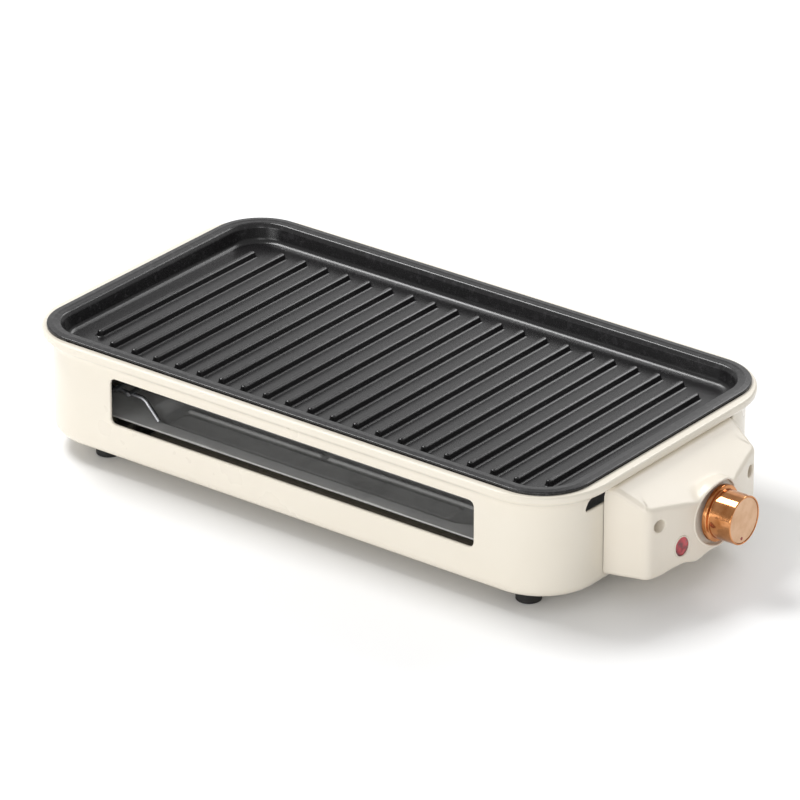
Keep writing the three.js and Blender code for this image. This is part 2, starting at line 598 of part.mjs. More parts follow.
function leads() {
  const pinX = ELEMENT_PIN.end + GAP + 2;
  const blockY = TERMINALS.y0 - GAP;
  const sideY = THERMOSTAT.halfY + GAP;
  const upperZ = KNOB_Z + LEAD.offset;
  const lowerZ = KNOB_Z - LEAD.offset;
  const { lowZ, midZ, columnX, blockX, rowY } = LEAD;
  const lampEnd = LAMP.depth + GAP + 1;
  const lampTurn = lampEnd + LEAD.bend + 2;
  const lampFoot = behindLamp(lampTurn, lowZ);
  return {
    lead_element_to_block: lead(at(pinX, ELEMENT_TAIL_Y, ELEMENT_Z), at(pinX, ELEMENT_TAIL_Y, midZ),
      at(blockX, ELEMENT_TAIL_Y, midZ), at(blockX, blockY, midZ)),
    lead_element_to_thermostat: lead(at(pinX, -ELEMENT_TAIL_Y, ELEMENT_Z), at(pinX, -ELEMENT_TAIL_Y, upperZ),
      at(pinX, -sideY, upperZ)),
    lead_block_to_thermostat: lead(at(columnX, blockY, midZ - 2), at(columnX, rowY, midZ - 2),
      at(columnX, rowY, lowerZ), at(columnX, sideY, lowerZ)),
    lead_lamp: lead(behindLamp(lampEnd, LAMP.z), behindLamp(lampTurn, LAMP.z), lampFoot,
      at(lampFoot.x, -6, lowZ), at(lampFoot.x, -6, KNOB_Z - THERMOSTAT.halfZ - GAP)),
  };
}

// ---------------------------------------------------------------- feet

function footPlaces() {
  return [
    [FOOT.leftX, -FOOT.y, 'front_left'], [FOOT.rightX, -FOOT.y, 'front_right'],
    [FOOT.leftX, FOOT.y, 'back_left'], [FOOT.rightX, FOOT.y, 'back_right'],
  ];
}

function foot(x, y) {
  const top = BODY_FLOOR_Z - GAP;
  return cut(rodAlongZ(0, top, FOOT.bottomR, FOOT.topR, x, y),
    rodAlongZ(-1, FOOT_SCREW.recess, FOOT_SCREW.headR + GAP, FOOT_SCREW.headR + GAP, x, y, 14),
    rodAlongZ(-1, top + 1, FOOT_SCREW.shankR + GAP, FOOT_SCREW.shankR + GAP, x, y, 12));
}

function footScrew(x, y) {
  const seat = FOOT_SCREW.recess - GAP;
  return join(rodAlongZ(seat - 2, seat, FOOT_SCREW.headR, FOOT_SCREW.headR, x, y, 12),
    rodAlongZ(seat - 1, BODY_FLOOR_Z + THROUGH, FOOT_SCREW.shankR, FOOT_SCREW.shankR, x, y, 12));
}

// ---------------------------------------------------------------- assembly

const CENTRE_X = (KNOB.faceX - BODY_HALF_X - LIP_REACH) / 2;
const griddle = new THREE.Group();
griddle.position.x = -CENTRE_X;

function place(name, geometry, material) {
  const mesh = new THREE.Mesh(facingOut(geometry), material);
  mesh.name = name;
  griddle.add(mesh);
}

place('outer_shell', outerShell(), CREAM_PAINT);
place('griddle_pan', griddlePan(), NON_STICK);
place('reflector_tray', reflectorTray(), POLISHED_STEEL);
place('reflector_stand_left', reflectorStand(-STAND.x), SATIN_STEEL);
place('reflector_stand_right', reflectorStand(STAND.x), SATIN_STEEL);
place('heating_element', heatingElement(), SHEATH);
place('element_plate', elementPlate(), SATIN_STEEL);
place('element_trestle', elementTrestle(), SATIN_STEEL);
[['front', -1], ['back', 1]].forEach(([end, side]) => {
  place(`element_bush_${end}`, elementBush(side), CERAMIC);
  place(`element_pin_${end}`, elementPin(side), SATIN_STEEL);
  place(`housing_screw_${end}`, housingScrew(side), SATIN_STEEL);
});
place('control_housing', controlHousing(), CREAM_PLASTIC);
place('housing_back_plate', housingBackPlate(), SATIN_STEEL);
place('cord_gland', cordGland(), BLACK_PLASTIC);
place('knob_body', knobBody(), COPPER);
place('knob_cap', knobCap(), COPPER);
place('knob_index', knobIndex(), RED_LENS);
place('thermostat_body', thermostatBody(), CERAMIC);
place('thermostat_shaft', thermostatShaft(), BRASS);
place('thermostat_nut', thermostatNut(), BRASS);
place('lamp_body', lampBody(), BLACK_PLASTIC);
place('lamp_bezel', lampBezel(), CREAM_PLASTIC);
place('lamp_lens', lampLens(), RED_LENS);
place('terminal_block', terminalBlock(), BLACK_PLASTIC);
Object.entries(leads()).forEach(([name, geometry]) => place(name, geometry, SILICONE));
footPlaces().forEach(([x, y, corner]) => {
  place(`foot_${corner}`, foot(x, y), BLACK_RUBBER);
  place(`foot_screw_${corner}`, footScrew(x, y), SATIN_STEEL);
});

export default griddle;
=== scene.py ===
"""Looks of the electric griddle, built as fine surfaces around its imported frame."""

import json
import logging
import math
from dataclasses import dataclass, field
from enum import Enum
from typing import Sequence

import bmesh
import bpy
import numpy as np
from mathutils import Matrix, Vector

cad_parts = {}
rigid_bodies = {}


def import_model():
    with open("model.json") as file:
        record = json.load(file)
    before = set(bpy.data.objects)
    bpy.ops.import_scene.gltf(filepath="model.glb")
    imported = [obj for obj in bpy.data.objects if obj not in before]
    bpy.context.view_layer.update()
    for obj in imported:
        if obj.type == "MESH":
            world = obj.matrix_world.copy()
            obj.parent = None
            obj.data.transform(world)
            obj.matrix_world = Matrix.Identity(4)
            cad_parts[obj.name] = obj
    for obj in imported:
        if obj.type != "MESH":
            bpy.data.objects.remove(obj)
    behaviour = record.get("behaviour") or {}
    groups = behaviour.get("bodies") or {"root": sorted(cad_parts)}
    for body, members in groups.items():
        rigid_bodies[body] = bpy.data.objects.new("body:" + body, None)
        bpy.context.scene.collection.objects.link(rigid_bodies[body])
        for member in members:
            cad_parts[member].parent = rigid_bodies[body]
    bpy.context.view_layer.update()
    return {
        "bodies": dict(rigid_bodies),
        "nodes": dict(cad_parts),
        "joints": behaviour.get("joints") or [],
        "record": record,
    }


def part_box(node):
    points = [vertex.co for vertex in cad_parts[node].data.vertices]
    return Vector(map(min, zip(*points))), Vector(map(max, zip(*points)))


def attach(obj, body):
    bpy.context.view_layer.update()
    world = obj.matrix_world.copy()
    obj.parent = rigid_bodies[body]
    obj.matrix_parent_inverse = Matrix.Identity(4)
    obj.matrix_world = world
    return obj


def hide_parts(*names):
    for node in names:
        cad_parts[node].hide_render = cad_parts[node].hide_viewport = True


LOG = logging.getLogger("griddle")
MM = 0.001
WELD_DISTANCE = 4e-6
SHARP_ANGLE = math.radians(40)


class Body(str, Enum):
    """The bodies of the frame that pieces ride on."""

    BASE = "base"
    GRIDDLE = "griddle"
    KNOB = "knob"


# ------------------------------------------------------------------ numbers that vary over a surface


class Value:
    """One output socket that takes part in arithmetic; each operation adds a Math node."""

    def __init__(self, shader: "Shader", socket: bpy.types.NodeSocket) -> None:
        """Wraps the socket of a node in the shader's tree."""
        self.shader = shader
        self.socket = socket

    def _maths(self, operation: str, *terms: object) -> "Value":
        """Adds a Math node.

        Args:
            operation: The Math node's operation.
            terms: Its values, each a Value or a number.

        Returns:
            The result as a Value.
        """
        inputs = {index: term for index, term in enumerate(terms)}
        return self.shader.number("ShaderNodeMath", {"operation": operation}, inputs)

    def __add__(self, other: object) -> "Value":
        """Sum."""
        return self._maths("ADD", self, other)

    __radd__ = __add__

    def __sub__(self, other: object) -> "Value":
        """Difference."""
        return self._maths("SUBTRACT", self, other)

    def __rsub__(self, other: object) -> "Value":
        """Difference from a number on the left."""
        return self._maths("SUBTRACT", other, self)

    def __mul__(self, other: object) -> "Value":
        """Product."""
        return self._maths("MULTIPLY", self, other)

    __rmul__ = __mul__

    def __pow__(self, other: object) -> "Value":
        """Power."""
        return self._maths("POWER", self, other)

    def smooth_step(self, low: float, high: float) -> "Value":
        """Zero below low, one above high and an S-curve between."""
        settings = {"interpolation_type": "SMOOTHSTEP"}
        inputs = {"Value": self, "From Min": low, "From Max": high}
        return self.shader.number("ShaderNodeMapRange", settings, inputs)


class Shader:
    """A material's node tree with one Principled shader."""

    def __init__(self, name: str) -> None:
        """Starts a material of this name."""
        self.material = bpy.data.materials.new(name)
        self.material.use_nodes = True
        self.tree = self.material.node_tree
        self.tree.nodes.clear()
        self.surface = self.node("ShaderNodeBsdfPrincipled", {}, {})
        self.node("ShaderNodeOutputMaterial", {}, {"Surface": self.surface.outputs[0]})

    def node(self, kind: str, settings: dict, inputs: dict) -> bpy.types.Node:
        """Adds any node.

        Args:
            kind: The node's type.
            settings: Its properties, set first; "stops" holds a ramp's (position, colour) pairs.
            inputs: Values, Values' sockets or plain links by socket name or number.

        Returns:
            The new node.
        """
        made = self.tree.nodes.new(kind)
        for key, setting in settings.items():
            if key == "stops":
                while len(made.color_ramp.elements) < len(setting):
                    made.color_ramp.elements.new(1.0)
                for element, (position, colour) in zip(made.color_ramp.elements, setting):
                    element.position, element.color = position, (*colour, 1.0)
            else:
                setattr(made, key, setting)
        for key, given in inputs.items():
            self.feed(made.inputs[key], given)
        return made

    def feed(self, socket: bpy.types.NodeSocket, given: object) -> None:
        """Links or sets one input.

        Args:
            socket: The input.
            given: A Value, an output socket, a number or a colour or vector.
        """
        if isinstance(given, Value):
            given = given.socket
        if isinstance(given, bpy.types.NodeSocket):
            self.tree.links.new(given, socket)
        elif socket.type == "RGBA" and len(given) == 3:
            socket.default_value = (*given, 1.0)
        else:
            socket.default_value = given

    def number(self, kind: str, settings: dict, inputs: dict) -> Value:
        """Adds a node and wraps its first output as a Value."""
        return Value(self, self.node(kind, settings, inputs).outputs[0])

    def place(self, stretch: Sequence[float] = (1, 1, 1), centre: Sequence[float] = (0, 0, 0)) -> object:
        """Object coordinates, centred and stretched.

        Args:
            stretch: Scale along each axis.
            centre: The point, in metres, that becomes the origin.

        Returns:
            The vector's output socket.
        """
        coordinates = self.node("ShaderNodeTexCoord", {}, {}).outputs["Object"]
        moved = self.node("ShaderNodeVectorMath", {"operation": "SUBTRACT"},
                          {0: coordinates, 1: tuple(centre)})
        scaled = self.node("ShaderNodeVectorMath", {"operation": "MULTIPLY"},
                           {0: moved.outputs[0], 1: tuple(stretch)})
        return scaled.outputs[0]

    def noise(self, place: object, scale: float, detail: float = 3.0, roughness: float = 0.5) -> Value:
        """Fractal noise from 0 to 1 about 0.5, with features of about 1/scale metres."""
        return self.number("ShaderNodeTexNoise", {}, {"Vector": place, "Scale": scale, "Detail": detail,
                                                      "Roughness": roughness})

    def blend(self, share: object, first: object, second: object) -> object:
        """Mix of two colours; share 0 is the first and 1 the second."""
        mixed = self.node("ShaderNodeMix", {"data_type": "RGBA"}, {0: share, 6: first, 7: second})
        return mixed.outputs[2]

    def bump(self, height: object, strength: float, distance: float) -> object:
        """Bump from a height; distance is in metres.

        Args:
            height: The height, from 0 to 1.
            strength: Share of the bump that shows.
            distance: Height of 1 in metres.

        Returns:
            The normal's output socket.
        """
        inputs = {"Height": height, "Strength": strength, "Distance": distance}
        return self.node("ShaderNodeBump", {}, inputs).outputs[0]

    def dress(self, **sockets: object) -> bpy.types.Material:
        """Feeds the Principled shader; an underscore in a name stands for a space.

        Args:
            sockets: Values by socket name.

        Returns:
            The finished material.
        """
        for name, given in sockets.items():
            self.feed(self.surface.inputs[name.replace("_", " ")], given)
        return self.material


def linear(red: int, green: int, blue: int) -> tuple[float, float, float]:
    """Linear colour of an sRGB one.

    Args:
        red: Its red, from 0 to 255.
        green: Its green.
        blue: Its blue.

    Returns:
        The three linear shares, from 0 to 1.
    """
    shares = np.array([red, green, blue]) / 255
    curve = np.where(shares <= 0.04045, shares / 12.92, ((shares + 0.055) / 1.055) ** 2.4)
    return tuple(float(share) for share in curve)


# ------------------------------------------------------------------ finishes


@dataclass(frozen=True)
class Enamel:
    """Sprayed and baked enamel: soft orange peel, slight mottling, a clear gloss over it."""

    name: str
    colour: tuple[float, float, float]
    shade: tuple[float, float, float]
    roughness: float = 0.3
    coat: float = 0.35
    peel: float = 0.12

    def material(self) -> bpy.types.Material:
        """The finish as a material.

        Returns:
            The material.
        """
        shader = Shader(self.name)
        place = shader.place()
        mottle = shader.noise(place, 22, 4)
        peel = shader.noise(place, 520, 2)
        grime = shader.noise(place, 9, 5, 0.6).smooth_step(0.45, 0.75)
        return shader.dress(
            Base_Color=shader.blend(mottle * 0.7 + grime * 0.3, self.colour, self.shade),
            Roughness=mottle * 0.08 + grime * 0.05 + (self.roughness - 0.06),
            Coat_Weight=self.coat, Coat_Roughness=0.12,
            Normal=shader.bump(peel, self.peel, 0.00008))


@dataclass(frozen=True)
class NonStick:
    """Dark non-stick coating: fine flake, a pebbled skin and a patchy painted highlight on the rib crests."""

    name: str
    colour: tuple[float, float, float]
    fleck: tuple[float, float, float]
    crest_height: float
    roughness: float = 0.27

    def material(self) -> bpy.types.Material:
        """The finish as a material.

        Returns:
            The material.
        """
        shader = Shader(self.name)
        place = shader.place()
        flake = shader.noise(place, 3200, 1).smooth_step(0.62, 0.74)
        pebble = shader.noise(place, 1500, 2)
        sweep = shader.noise(shader.place((1, 0.35, 1)), 14, 4)
        parts = shader.node("ShaderNodeSeparateXYZ", {}, {0: place})
        # Painted highlight: the top 0.7 mm of the ribs, their crests, is lightened towards the fleck colour in
        # patches and made glossier.
        high = Value(shader, parts.outputs[2]).smooth_step(self.crest_height - 0.0007, self.crest_height)
        crest_highlight = high * shader.noise(place, 260, 4).smooth_step(0.5, 0.72)
        return shader.dress(
            Base_Color=shader.blend(flake * 0.5 + crest_highlight * 0.2, self.colour, self.fleck),
            Roughness=sweep * 0.12 + pebble * 0.06 - crest_highlight * 0.05 + (self.roughness - 0.09),
            Specular_IOR_Level=0.5,
            Normal=shader.bump(pebble, 0.16, 0.00006))


@dataclass(frozen=True)
class Metal:
    """Bare or plated metal with brush marks along one direction."""

    name: str
    colour: tuple[float, float, float]
    stain: tuple[float, float, float]
    roughness: float = 0.3
    marks: float = 0.12
    stretch: tuple[float, float, float] = (1, 1, 1)
    grain: float = 900.0
    metallic: float = 1.0

    def material(self) -> bpy.types.Material:
        """The finish as a material.

        Returns:
            The material.
        """
        shader = Shader(self.name)
        brushed = shader.noise(shader.place(self.stretch), self.grain, 3, 0.6)
        cloud = shader.noise(shader.place(), 30, 4, 0.6)
        return shader.dress(
            Base_Color=shader.blend(cloud.smooth_step(0.42, 0.8), self.colour, self.stain),
            Metallic=self.metallic,
            Roughness=brushed * self.marks + cloud * 0.08 + (self.roughness - self.marks / 2 - 0.04),
            Normal=shader.bump(brushed, 0.12, 0.00005))


@dataclass(frozen=True)
class TurnedMetal:
    """Plated metal turned on a lathe: marks run in rings about an axis along x."""

    name: str
    colour: tuple[float, float, float]
    deep: tuple[float, float, float]
    centre: tuple[float, float, float]
    roughness: float = 0.12
    marks: float = 0.06
    rings: float = 4200.0

    def material(self) -> bpy.types.Material:
        """The finish as a material; radius = (y*y + z*z) ** 0.5 about the axis.

        Returns:
            The material.
        """
        shader = Shader(self.name)
        place = shader.place((1, 1, 1), self.centre)
        parts = shader.node("ShaderNodeSeparateXYZ", {}, {0: place})
        along, side, height = (Value(shader, parts.outputs[index]) for index in range(3))
        radius = (side * side + height * height) ** 0.5
        lathe = shader.node("ShaderNodeCombineXYZ", {}, {0: along, 1: radius, 2: side * 0.02})
        ring = shader.noise(lathe.outputs[0], self.rings, 2)
        cloud = shader.noise(place, 110, 3)
        return shader.dress(
            Base_Color=shader.blend(cloud.smooth_step(0.35, 0.75), self.colour, self.deep),
            Metallic=1.0,
            Roughness=ring * self.marks + cloud * 0.05 + (self.roughness - self.marks / 2 - 0.02),
            Normal=shader.bump(ring, 0.08, 0.00003))


@dataclass(frozen=True)
class Moulded:
    """Moulded rubber, ceramic or plastic: a fine even grain and slight blooming."""

    name: str
    colour: tuple[float, float, float]
    bloom: tuple[float, float, float]
    roughness: float = 0.5
    grain: float = 1400.0
    depth: float = 0.00006
    coat: float = 0.0

    def material(self) -> bpy.types.Material:
        """The finish as a material.

        Returns:
            The material.
        """
        shader = Shader(self.name)
        place = shader.place()
        grain = shader.noise(place, self.grain, 2)
        bloom = shader.noise(place, 60, 4)
        return shader.dress(
            Base_Color=shader.blend(bloom.smooth_step(0.4, 0.8), self.colour, self.bloom),
            Roughness=grain * 0.1 + bloom * 0.08 + (self.roughness - 0.09),
            Coat_Weight=self.coat, Coat_Roughness=0.08,
            Normal=shader.bump(grain, 0.2, self.depth))


@dataclass(frozen=True)
class Lens:
    """Clear red lamp lens: deep colour under a hard gloss, with moulded facets inside."""

    name: str
    colour: tuple[float, float, float]
    deep: tuple[float, float, float]

    def material(self) -> bpy.types.Material:
        """The finish as a material.

        Returns:
            The material.
        """
        shader = Shader(self.name)
        facets = shader.number("ShaderNodeTexVoronoi", {"feature": "F1"},
                               {"Vector": shader.place(), "Scale": 700})
        cloud = shader.noise(shader.place(), 160, 2)
        return shader.dress(
            Base_Color=shader.blend(cloud.smooth_step(0.4, 0.62), self.colour, self.deep),
            Roughness=facets * 0.15 + 0.12,
            Coat_Weight=1.0, Coat_Roughness=0.04,
            Normal=shader.bump(facets, 0.25, 0.0002))


class Slot(str, Enum):
    """The record's material slots."""

    PAINT = "cream_paint"
    PLASTIC = "cream_plastic"
    NON_STICK = "non_stick"
    POLISHED = "polished_steel"
    SATIN = "satin_steel"
    SHEATH = "sheath_steel"
    COPPER = "copper_plate"
    COPPER_SATIN = "copper_satin"
    RED_ENAMEL = "red_enamel"
    RED_LENS = "red_lens"
    RUBBER = "black_rubber"
    BLACK_PLASTIC = "black_plastic"
    CERAMIC = "white_ceramic"
    BRASS = "brass"
    SILICONE = "silicone_lead"


class Finishes:
    """Every material of the griddle, by slot."""

    def __init__(self, knob_centre: tuple[float, float, float], crest_height: float) -> None:
        """Makes the materials.

        Args:
            knob_centre: A point on the knob's axis, in metres.
            crest_height: Height of the ribs' crests, in metres.
        """
        finishes = {
            Slot.PAINT: Enamel("cream_paint", linear(235, 228, 214), linear(229, 221, 205)),
            Slot.PLASTIC: Enamel("cream_plastic", linear(238, 230, 216), linear(233, 224, 208),
                                 0.36, 0.15, 0.2),
            Slot.NON_STICK: NonStick("non_stick", linear(22, 21, 22), linear(92, 91, 93), crest_height),
            Slot.POLISHED: Metal("polished_steel", linear(226, 226, 224), linear(196, 196, 194), 0.34, 0.14,
                                 (0.06, 1, 1), 900.0, 0.2),
            Slot.SATIN: Metal("satin_steel", linear(176, 177, 179), linear(140, 141, 144), 0.4, 0.16,
                              (1, 0.08, 1)),
            Slot.SHEATH: Metal("sheath_steel", linear(88, 84, 80), linear(52, 48, 46), 0.5, 0.1,
                               (0.1, 1, 1), 700.0, 0.85),
            Slot.COPPER: TurnedMetal("copper_plate", linear(214, 150, 100), linear(178, 112, 62),
                                     knob_centre, 0.1),
            Slot.COPPER_SATIN: TurnedMetal("copper_satin", linear(216, 180, 148), linear(204, 164, 130),
                                           knob_centre, 0.42, 0.14, 2600.0),
            Slot.RED_ENAMEL: Moulded("red_enamel", linear(150, 26, 22), linear(120, 18, 16), 0.3),
            Slot.RED_LENS: Lens("red_lens", linear(196, 26, 44), linear(104, 10, 24)),
            Slot.RUBBER: Moulded("black_rubber", linear(26, 25, 25), linear(40, 39, 38), 0.6),
            Slot.BLACK_PLASTIC: Moulded("black_plastic", linear(36, 33, 31), linear(50, 47, 44), 0.45),
            Slot.CERAMIC: Moulded("white_ceramic", linear(233, 230, 220), linear(212, 206, 192), 0.4),
            Slot.BRASS: Metal("brass", linear(198, 164, 92), linear(150, 118, 62), 0.32, 0.1),
            Slot.SILICONE: Moulded("silicone_lead", linear(216, 210, 196), linear(196, 188, 172), 0.55),
        }
        self.materials = {slot: finish.material() for slot, finish in finishes.items()}

    def dress_nodes(self, nodes: dict, record: dict) -> None:
        """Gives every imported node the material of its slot.

        Args:
            nodes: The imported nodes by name.
            record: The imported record, whose subparts name their slots.
        """
        for entry in record["subparts"]:
            node = nodes[entry["node"]]
            node.data.materials.clear()
            node.data.materials.append(self.materials[Slot(entry["material_slot"])])


# ------------------------------------------------------------------ shapes


def rounded_line(corners: Sequence[Sequence[float]], radii: Sequence[float], steps: int = 6,
                 support: float = 0.8) -> np.ndarray:
    """A line through corners, each replaced by a circular arc.

    Each arc is the rational quadratic curve from the tangent point before the corner to the one after it,
    weighted by the cosine of half the turn, so it is an exact circle. A support point lies just outside each
    end of it, which keeps the shading of the straight runs flat.

    Args:
        corners: The points, two or three numbers each.
        radii: One radius for each corner; those of the two ends are unused.
        steps: Segments in each arc.
        support: Distance of the support points from the arc.

    Returns:
        The points of the line.
    """
    corner = np.asarray(corners, float)
    radius = np.asarray(radii, float)[1:-1, None]
    middle = corner[1:-1]
    back, ahead = corner[:-2] - middle, corner[2:] - middle
    back_length = np.linalg.norm(back, axis=1, keepdims=True)
    ahead_length = np.linalg.norm(ahead, axis=1, keepdims=True)
    back, ahead = back / back_length, ahead / ahead_length
    half_turn = np.arccos(np.clip(-np.sum(back * ahead, axis=1, keepdims=True), -1, 1)) / 2
    shorter = np.minimum(back_length, ahead_length)
    reach = np.minimum(radius * np.tan(half_turn), 0.46 * shorter)
    spare = np.minimum(support, 0.08 * shorter)
    enter, leave = middle + back * reach, middle + ahead * reach
    share = np.linspace(0, 1, steps + 1)[:, None, None]
    weights = ((1 - share) ** 2, 2 * share * (1 - share) * np.cos(half_turn), share ** 2)
    arcs = (weights[0] * enter + weights[1] * middle + weights[2] * leave) / sum(weights)
    runs = np.concatenate([(enter + back * spare)[None], arcs, (leave + ahead * spare)[None]])
    line = np.concatenate([corner[:1], runs.transpose(1, 0, 2).reshape(-1, corner.shape[1]), corner[-1:]])
    apart = np.linalg.norm(np.diff(line, axis=0), axis=1) > 1e-5
    return line[np.concatenate([[True], apart])]


def run_lengths(line: np.ndarray) -> np.ndarray:
    """Distance along a line from its start to each of its points."""
    return np.concatenate([[0], np.cumsum(np.linalg.norm(np.diff(line, axis=0), axis=1))])


def crowded(low: float, high: float, count: int) -> np.ndarray:
    """Stations from low to high that crowd towards both ends, as the cosine of an even angle."""
    return low + (high - low) * (0.5 - 0.5 * np.cos(np.linspace(0, math.pi, count + 1)))


def quads(rows: int, columns: int, around: bool = False, keep: np.ndarray | None = None) -> np.ndarray:
    """Faces of a grid of points.

    Args:
        rows: Rows of points.
        columns: Points in each row.
        around: Whether the last column joins the first.
        keep: Which cells to make, as booleans (rows - 1, columns or columns - 1).

    Returns:
        Four point numbers for each face.
    """
    row = np.arange(rows - 1)[:, None]
    column = np.arange(columns if around else columns - 1)[None]
    after = (column + 1) % columns
    corners = [row * columns + column, row * columns + after,
               (row + 1) * columns + after, (row + 1) * columns + column]
    faces = np.stack([np.broadcast_to(c, (rows - 1, column.size)) for c in corners], -1)
    return faces[keep] if keep is not None else faces.reshape(-1, 4)


@dataclass(frozen=True)
class RoundedOutline:
    """A rounded rectangle about the origin, measured by arc length s from its left side's back end.

    It has eight runs: left, corner, front, corner, right, corner, back, corner. On each of them a point is
    centre + ds * along + radius * (cos a, sin a), where ds is the distance into the run and the angle a stays
    the same on a side and grows by ds / radius on a corner. The same (cos a, sin a) is the outward normal.
    """

    half_x: float
    half_y: float
    corner: float

    def _runs(self) -> tuple[np.ndarray, np.ndarray, np.ndarray, np.ndarray, np.ndarray]:
        """The eight runs.

        Returns:
            The start length, centre, direction, first angle and turn of each.
        """
        flat_x, flat_y = self.half_x - self.corner, self.half_y - self.corner
        sides = np.array([2 * flat_y, self.corner * math.pi / 2, 2 * flat_x, self.corner * math.pi / 2] * 2)
        starts = np.concatenate([[0], np.cumsum(sides)])
        centres = np.array([(-flat_x, flat_y), (-flat_x, -flat_y), (-flat_x, -flat_y), (flat_x, -flat_y),
                            (flat_x, -flat_y), (flat_x, flat_y), (flat_x, flat_y), (-flat_x, flat_y)])
        along = np.array([(0, -1), (0, 0), (1, 0), (0, 0), (0, 1), (0, 0), (-1, 0), (0, 0)], float)
        angles = np.radians([180, 180, 270, 270, 360, 360, 450, 450])
        turns = np.array([0, 1, 0, 1, 0, 1, 0, 1]) / self.corner
        return starts, centres, along, angles, turns

    @property
    def length(self) -> float:
        """Length of the whole outline."""
        return float(self._runs()[0][-1])

    def at(self, s: np.ndarray) -> tuple[np.ndarray, np.ndarray]:
        """Points and outward normals.

        Args:
            s: Arc lengths, of any shape.

        Returns:
            The points and the normals, each as (..., 2).
        """
        starts, centres, along, angles, turns = self._runs()
        s = np.mod(s, starts[-1])
        run = np.clip(np.searchsorted(starts, s, side="right") - 1, 0, 7)
        into = (s - starts[run])[..., None]
        angle = angles[run] + into[..., 0] * turns[run]
        normal = np.stack([np.cos(angle), np.sin(angle)], -1)
        return centres[run] + into * along[run] + self.corner * normal, normal

    def front(self, x: float) -> float:
        """Arc length of the point of the front side at x."""
        return float(self._runs()[0][2]) + x + self.half_x - self.corner

    def right(self, y: float) -> float:
        """Arc length of a point on the right side or on the corner that it runs into.

        Args:
            y: Where the point lies.

        Returns:
            Its arc length.
        """
        flat = self.half_y - self.corner
        beyond = max(abs(y) - flat, 0)
        bent = self.corner * math.asin(beyond / self.corner)
        return float(self._runs()[0][4]) + flat + math.copysign(min(abs(y), flat) + bent, y)

    def stations(self, corner_steps: int, side_step: float, extra: Sequence[float] = ()) -> np.ndarray:
        """Arc lengths at which to draw the outline.

        Args:
            corner_steps: Segments in each corner.
            side_step: Longest segment on a side.
            extra: Further arc lengths to include.

        Returns:
            The arc lengths in order, without the end that repeats the start.
        """
        starts = self._runs()[0]
        lengths = np.diff(starts)
        counts = [corner_steps if i % 2 else max(math.ceil(lengths[i] / side_step), 1) for i in range(8)]
        spans = [np.linspace(starts[i], starts[i + 1], counts[i], endpoint=False) for i in range(8)]
        near = np.concatenate([starts[:-1] + 0.6, starts[1:] - 0.6])
        found = np.unique(np.round(np.concatenate([*spans, near, np.asarray(extra, float)]), 5))
        return found[found < starts[-1] - 1e-4]

    def inside(self, ring: np.ndarray) -> np.ndarray:
        """Level surface inside a ring: each point drawn in towards the outline's middle line.

        Args:
            ring: The ring's points as (columns, 3).

        Returns:
            The points as (rows, columns, 3), from the ring to the middle line.
        """
        spine = ring * (1, 0, 1)
        reach = self.half_x - self.half_y
        spine[:, 0] = np.clip(spine[:, 0], -reach, reach)
        return ring + (spine - ring) * np.array([0, 0.03, 0.5, 1])[:, None, None]


class Skin:
    """Collects the surfaces of one piece, in millimetres, and makes them one closed mesh."""

    def __init__(self, name: str) -> None:
        """Starts a piece of this name."""
        self.name = name
        self.points: list[np.ndarray] = []
        self.faces: list[np.ndarray] = []
        self.count = 0

    def add(self, points: np.ndarray, around: bool = False, keep: np.ndarray | None = None,
            flip: bool = False) -> "Skin":
        """Adds a grid of points as a surface.

        Args:
            points: The points as (rows, columns, 3).
            around: Whether the last column joins the first.
            keep: Which cells to make.
            flip: Whether to turn the faces over.

        Returns:
            The same skin.
        """
        rows, columns = points.shape[:2]
        faces = quads(rows, columns, around, keep)
        self.faces.append((faces[:, ::-1] if flip else faces) + self.count)
        self.points.append(points.reshape(-1, 3))
        self.count += rows * columns
        return self

    def build(self, datum: float) -> bpy.types.Object:
        """Makes the object: welds the seams, points the faces outwards and smooths the shading.

        Args:
            datum: Where the body's middle lies along x in the frame, in millimetres.

        Returns:
            The object, linked to the scene.
        """
        points = (np.concatenate(self.points) + (datum, 0, 0)) * MM
        faces = np.concatenate(self.faces)
        mesh = bpy.data.meshes.new(self.name)
        mesh.from_pydata(points.tolist(), [], faces.tolist())
        grid = bmesh.new()
        grid.from_mesh(mesh)
        bmesh.ops.remove_doubles(grid, verts=grid.verts, dist=WELD_DISTANCE)
        bmesh.ops.dissolve_degenerate(grid, dist=1e-7, edges=grid.edges)
        bmesh.ops.recalc_face_normals(grid, faces=grid.faces)
        grid.to_mesh(mesh)
        grid.free()
        mesh.polygons.foreach_set("use_smooth", np.ones(len(mesh.polygons), bool))
        mesh.set_sharp_from_angle(angle=SHARP_ANGLE)
        made = bpy.data.objects.new(self.name, mesh)
        bpy.context.scene.collection.objects.link(made)
        return made


def turned(line: np.ndarray, sides: int = 96) -> np.ndarray:
    """Profile carried round an axis: (along, radius cos a, radius sin a) for even angles a.

    Args:
        line: The profile as (along, radius).
        sides: Points round the axis.

    Returns:
        The points as (rows, sides, 3).
    """
    angle = np.linspace(0, 2 * math.pi, sides, endpoint=False)
    along, radius = line[:, :1], line[:, 1:2]
    return np.stack([along + 0 * angle, radius * np.cos(angle), radius * np.sin(angle)], -1)


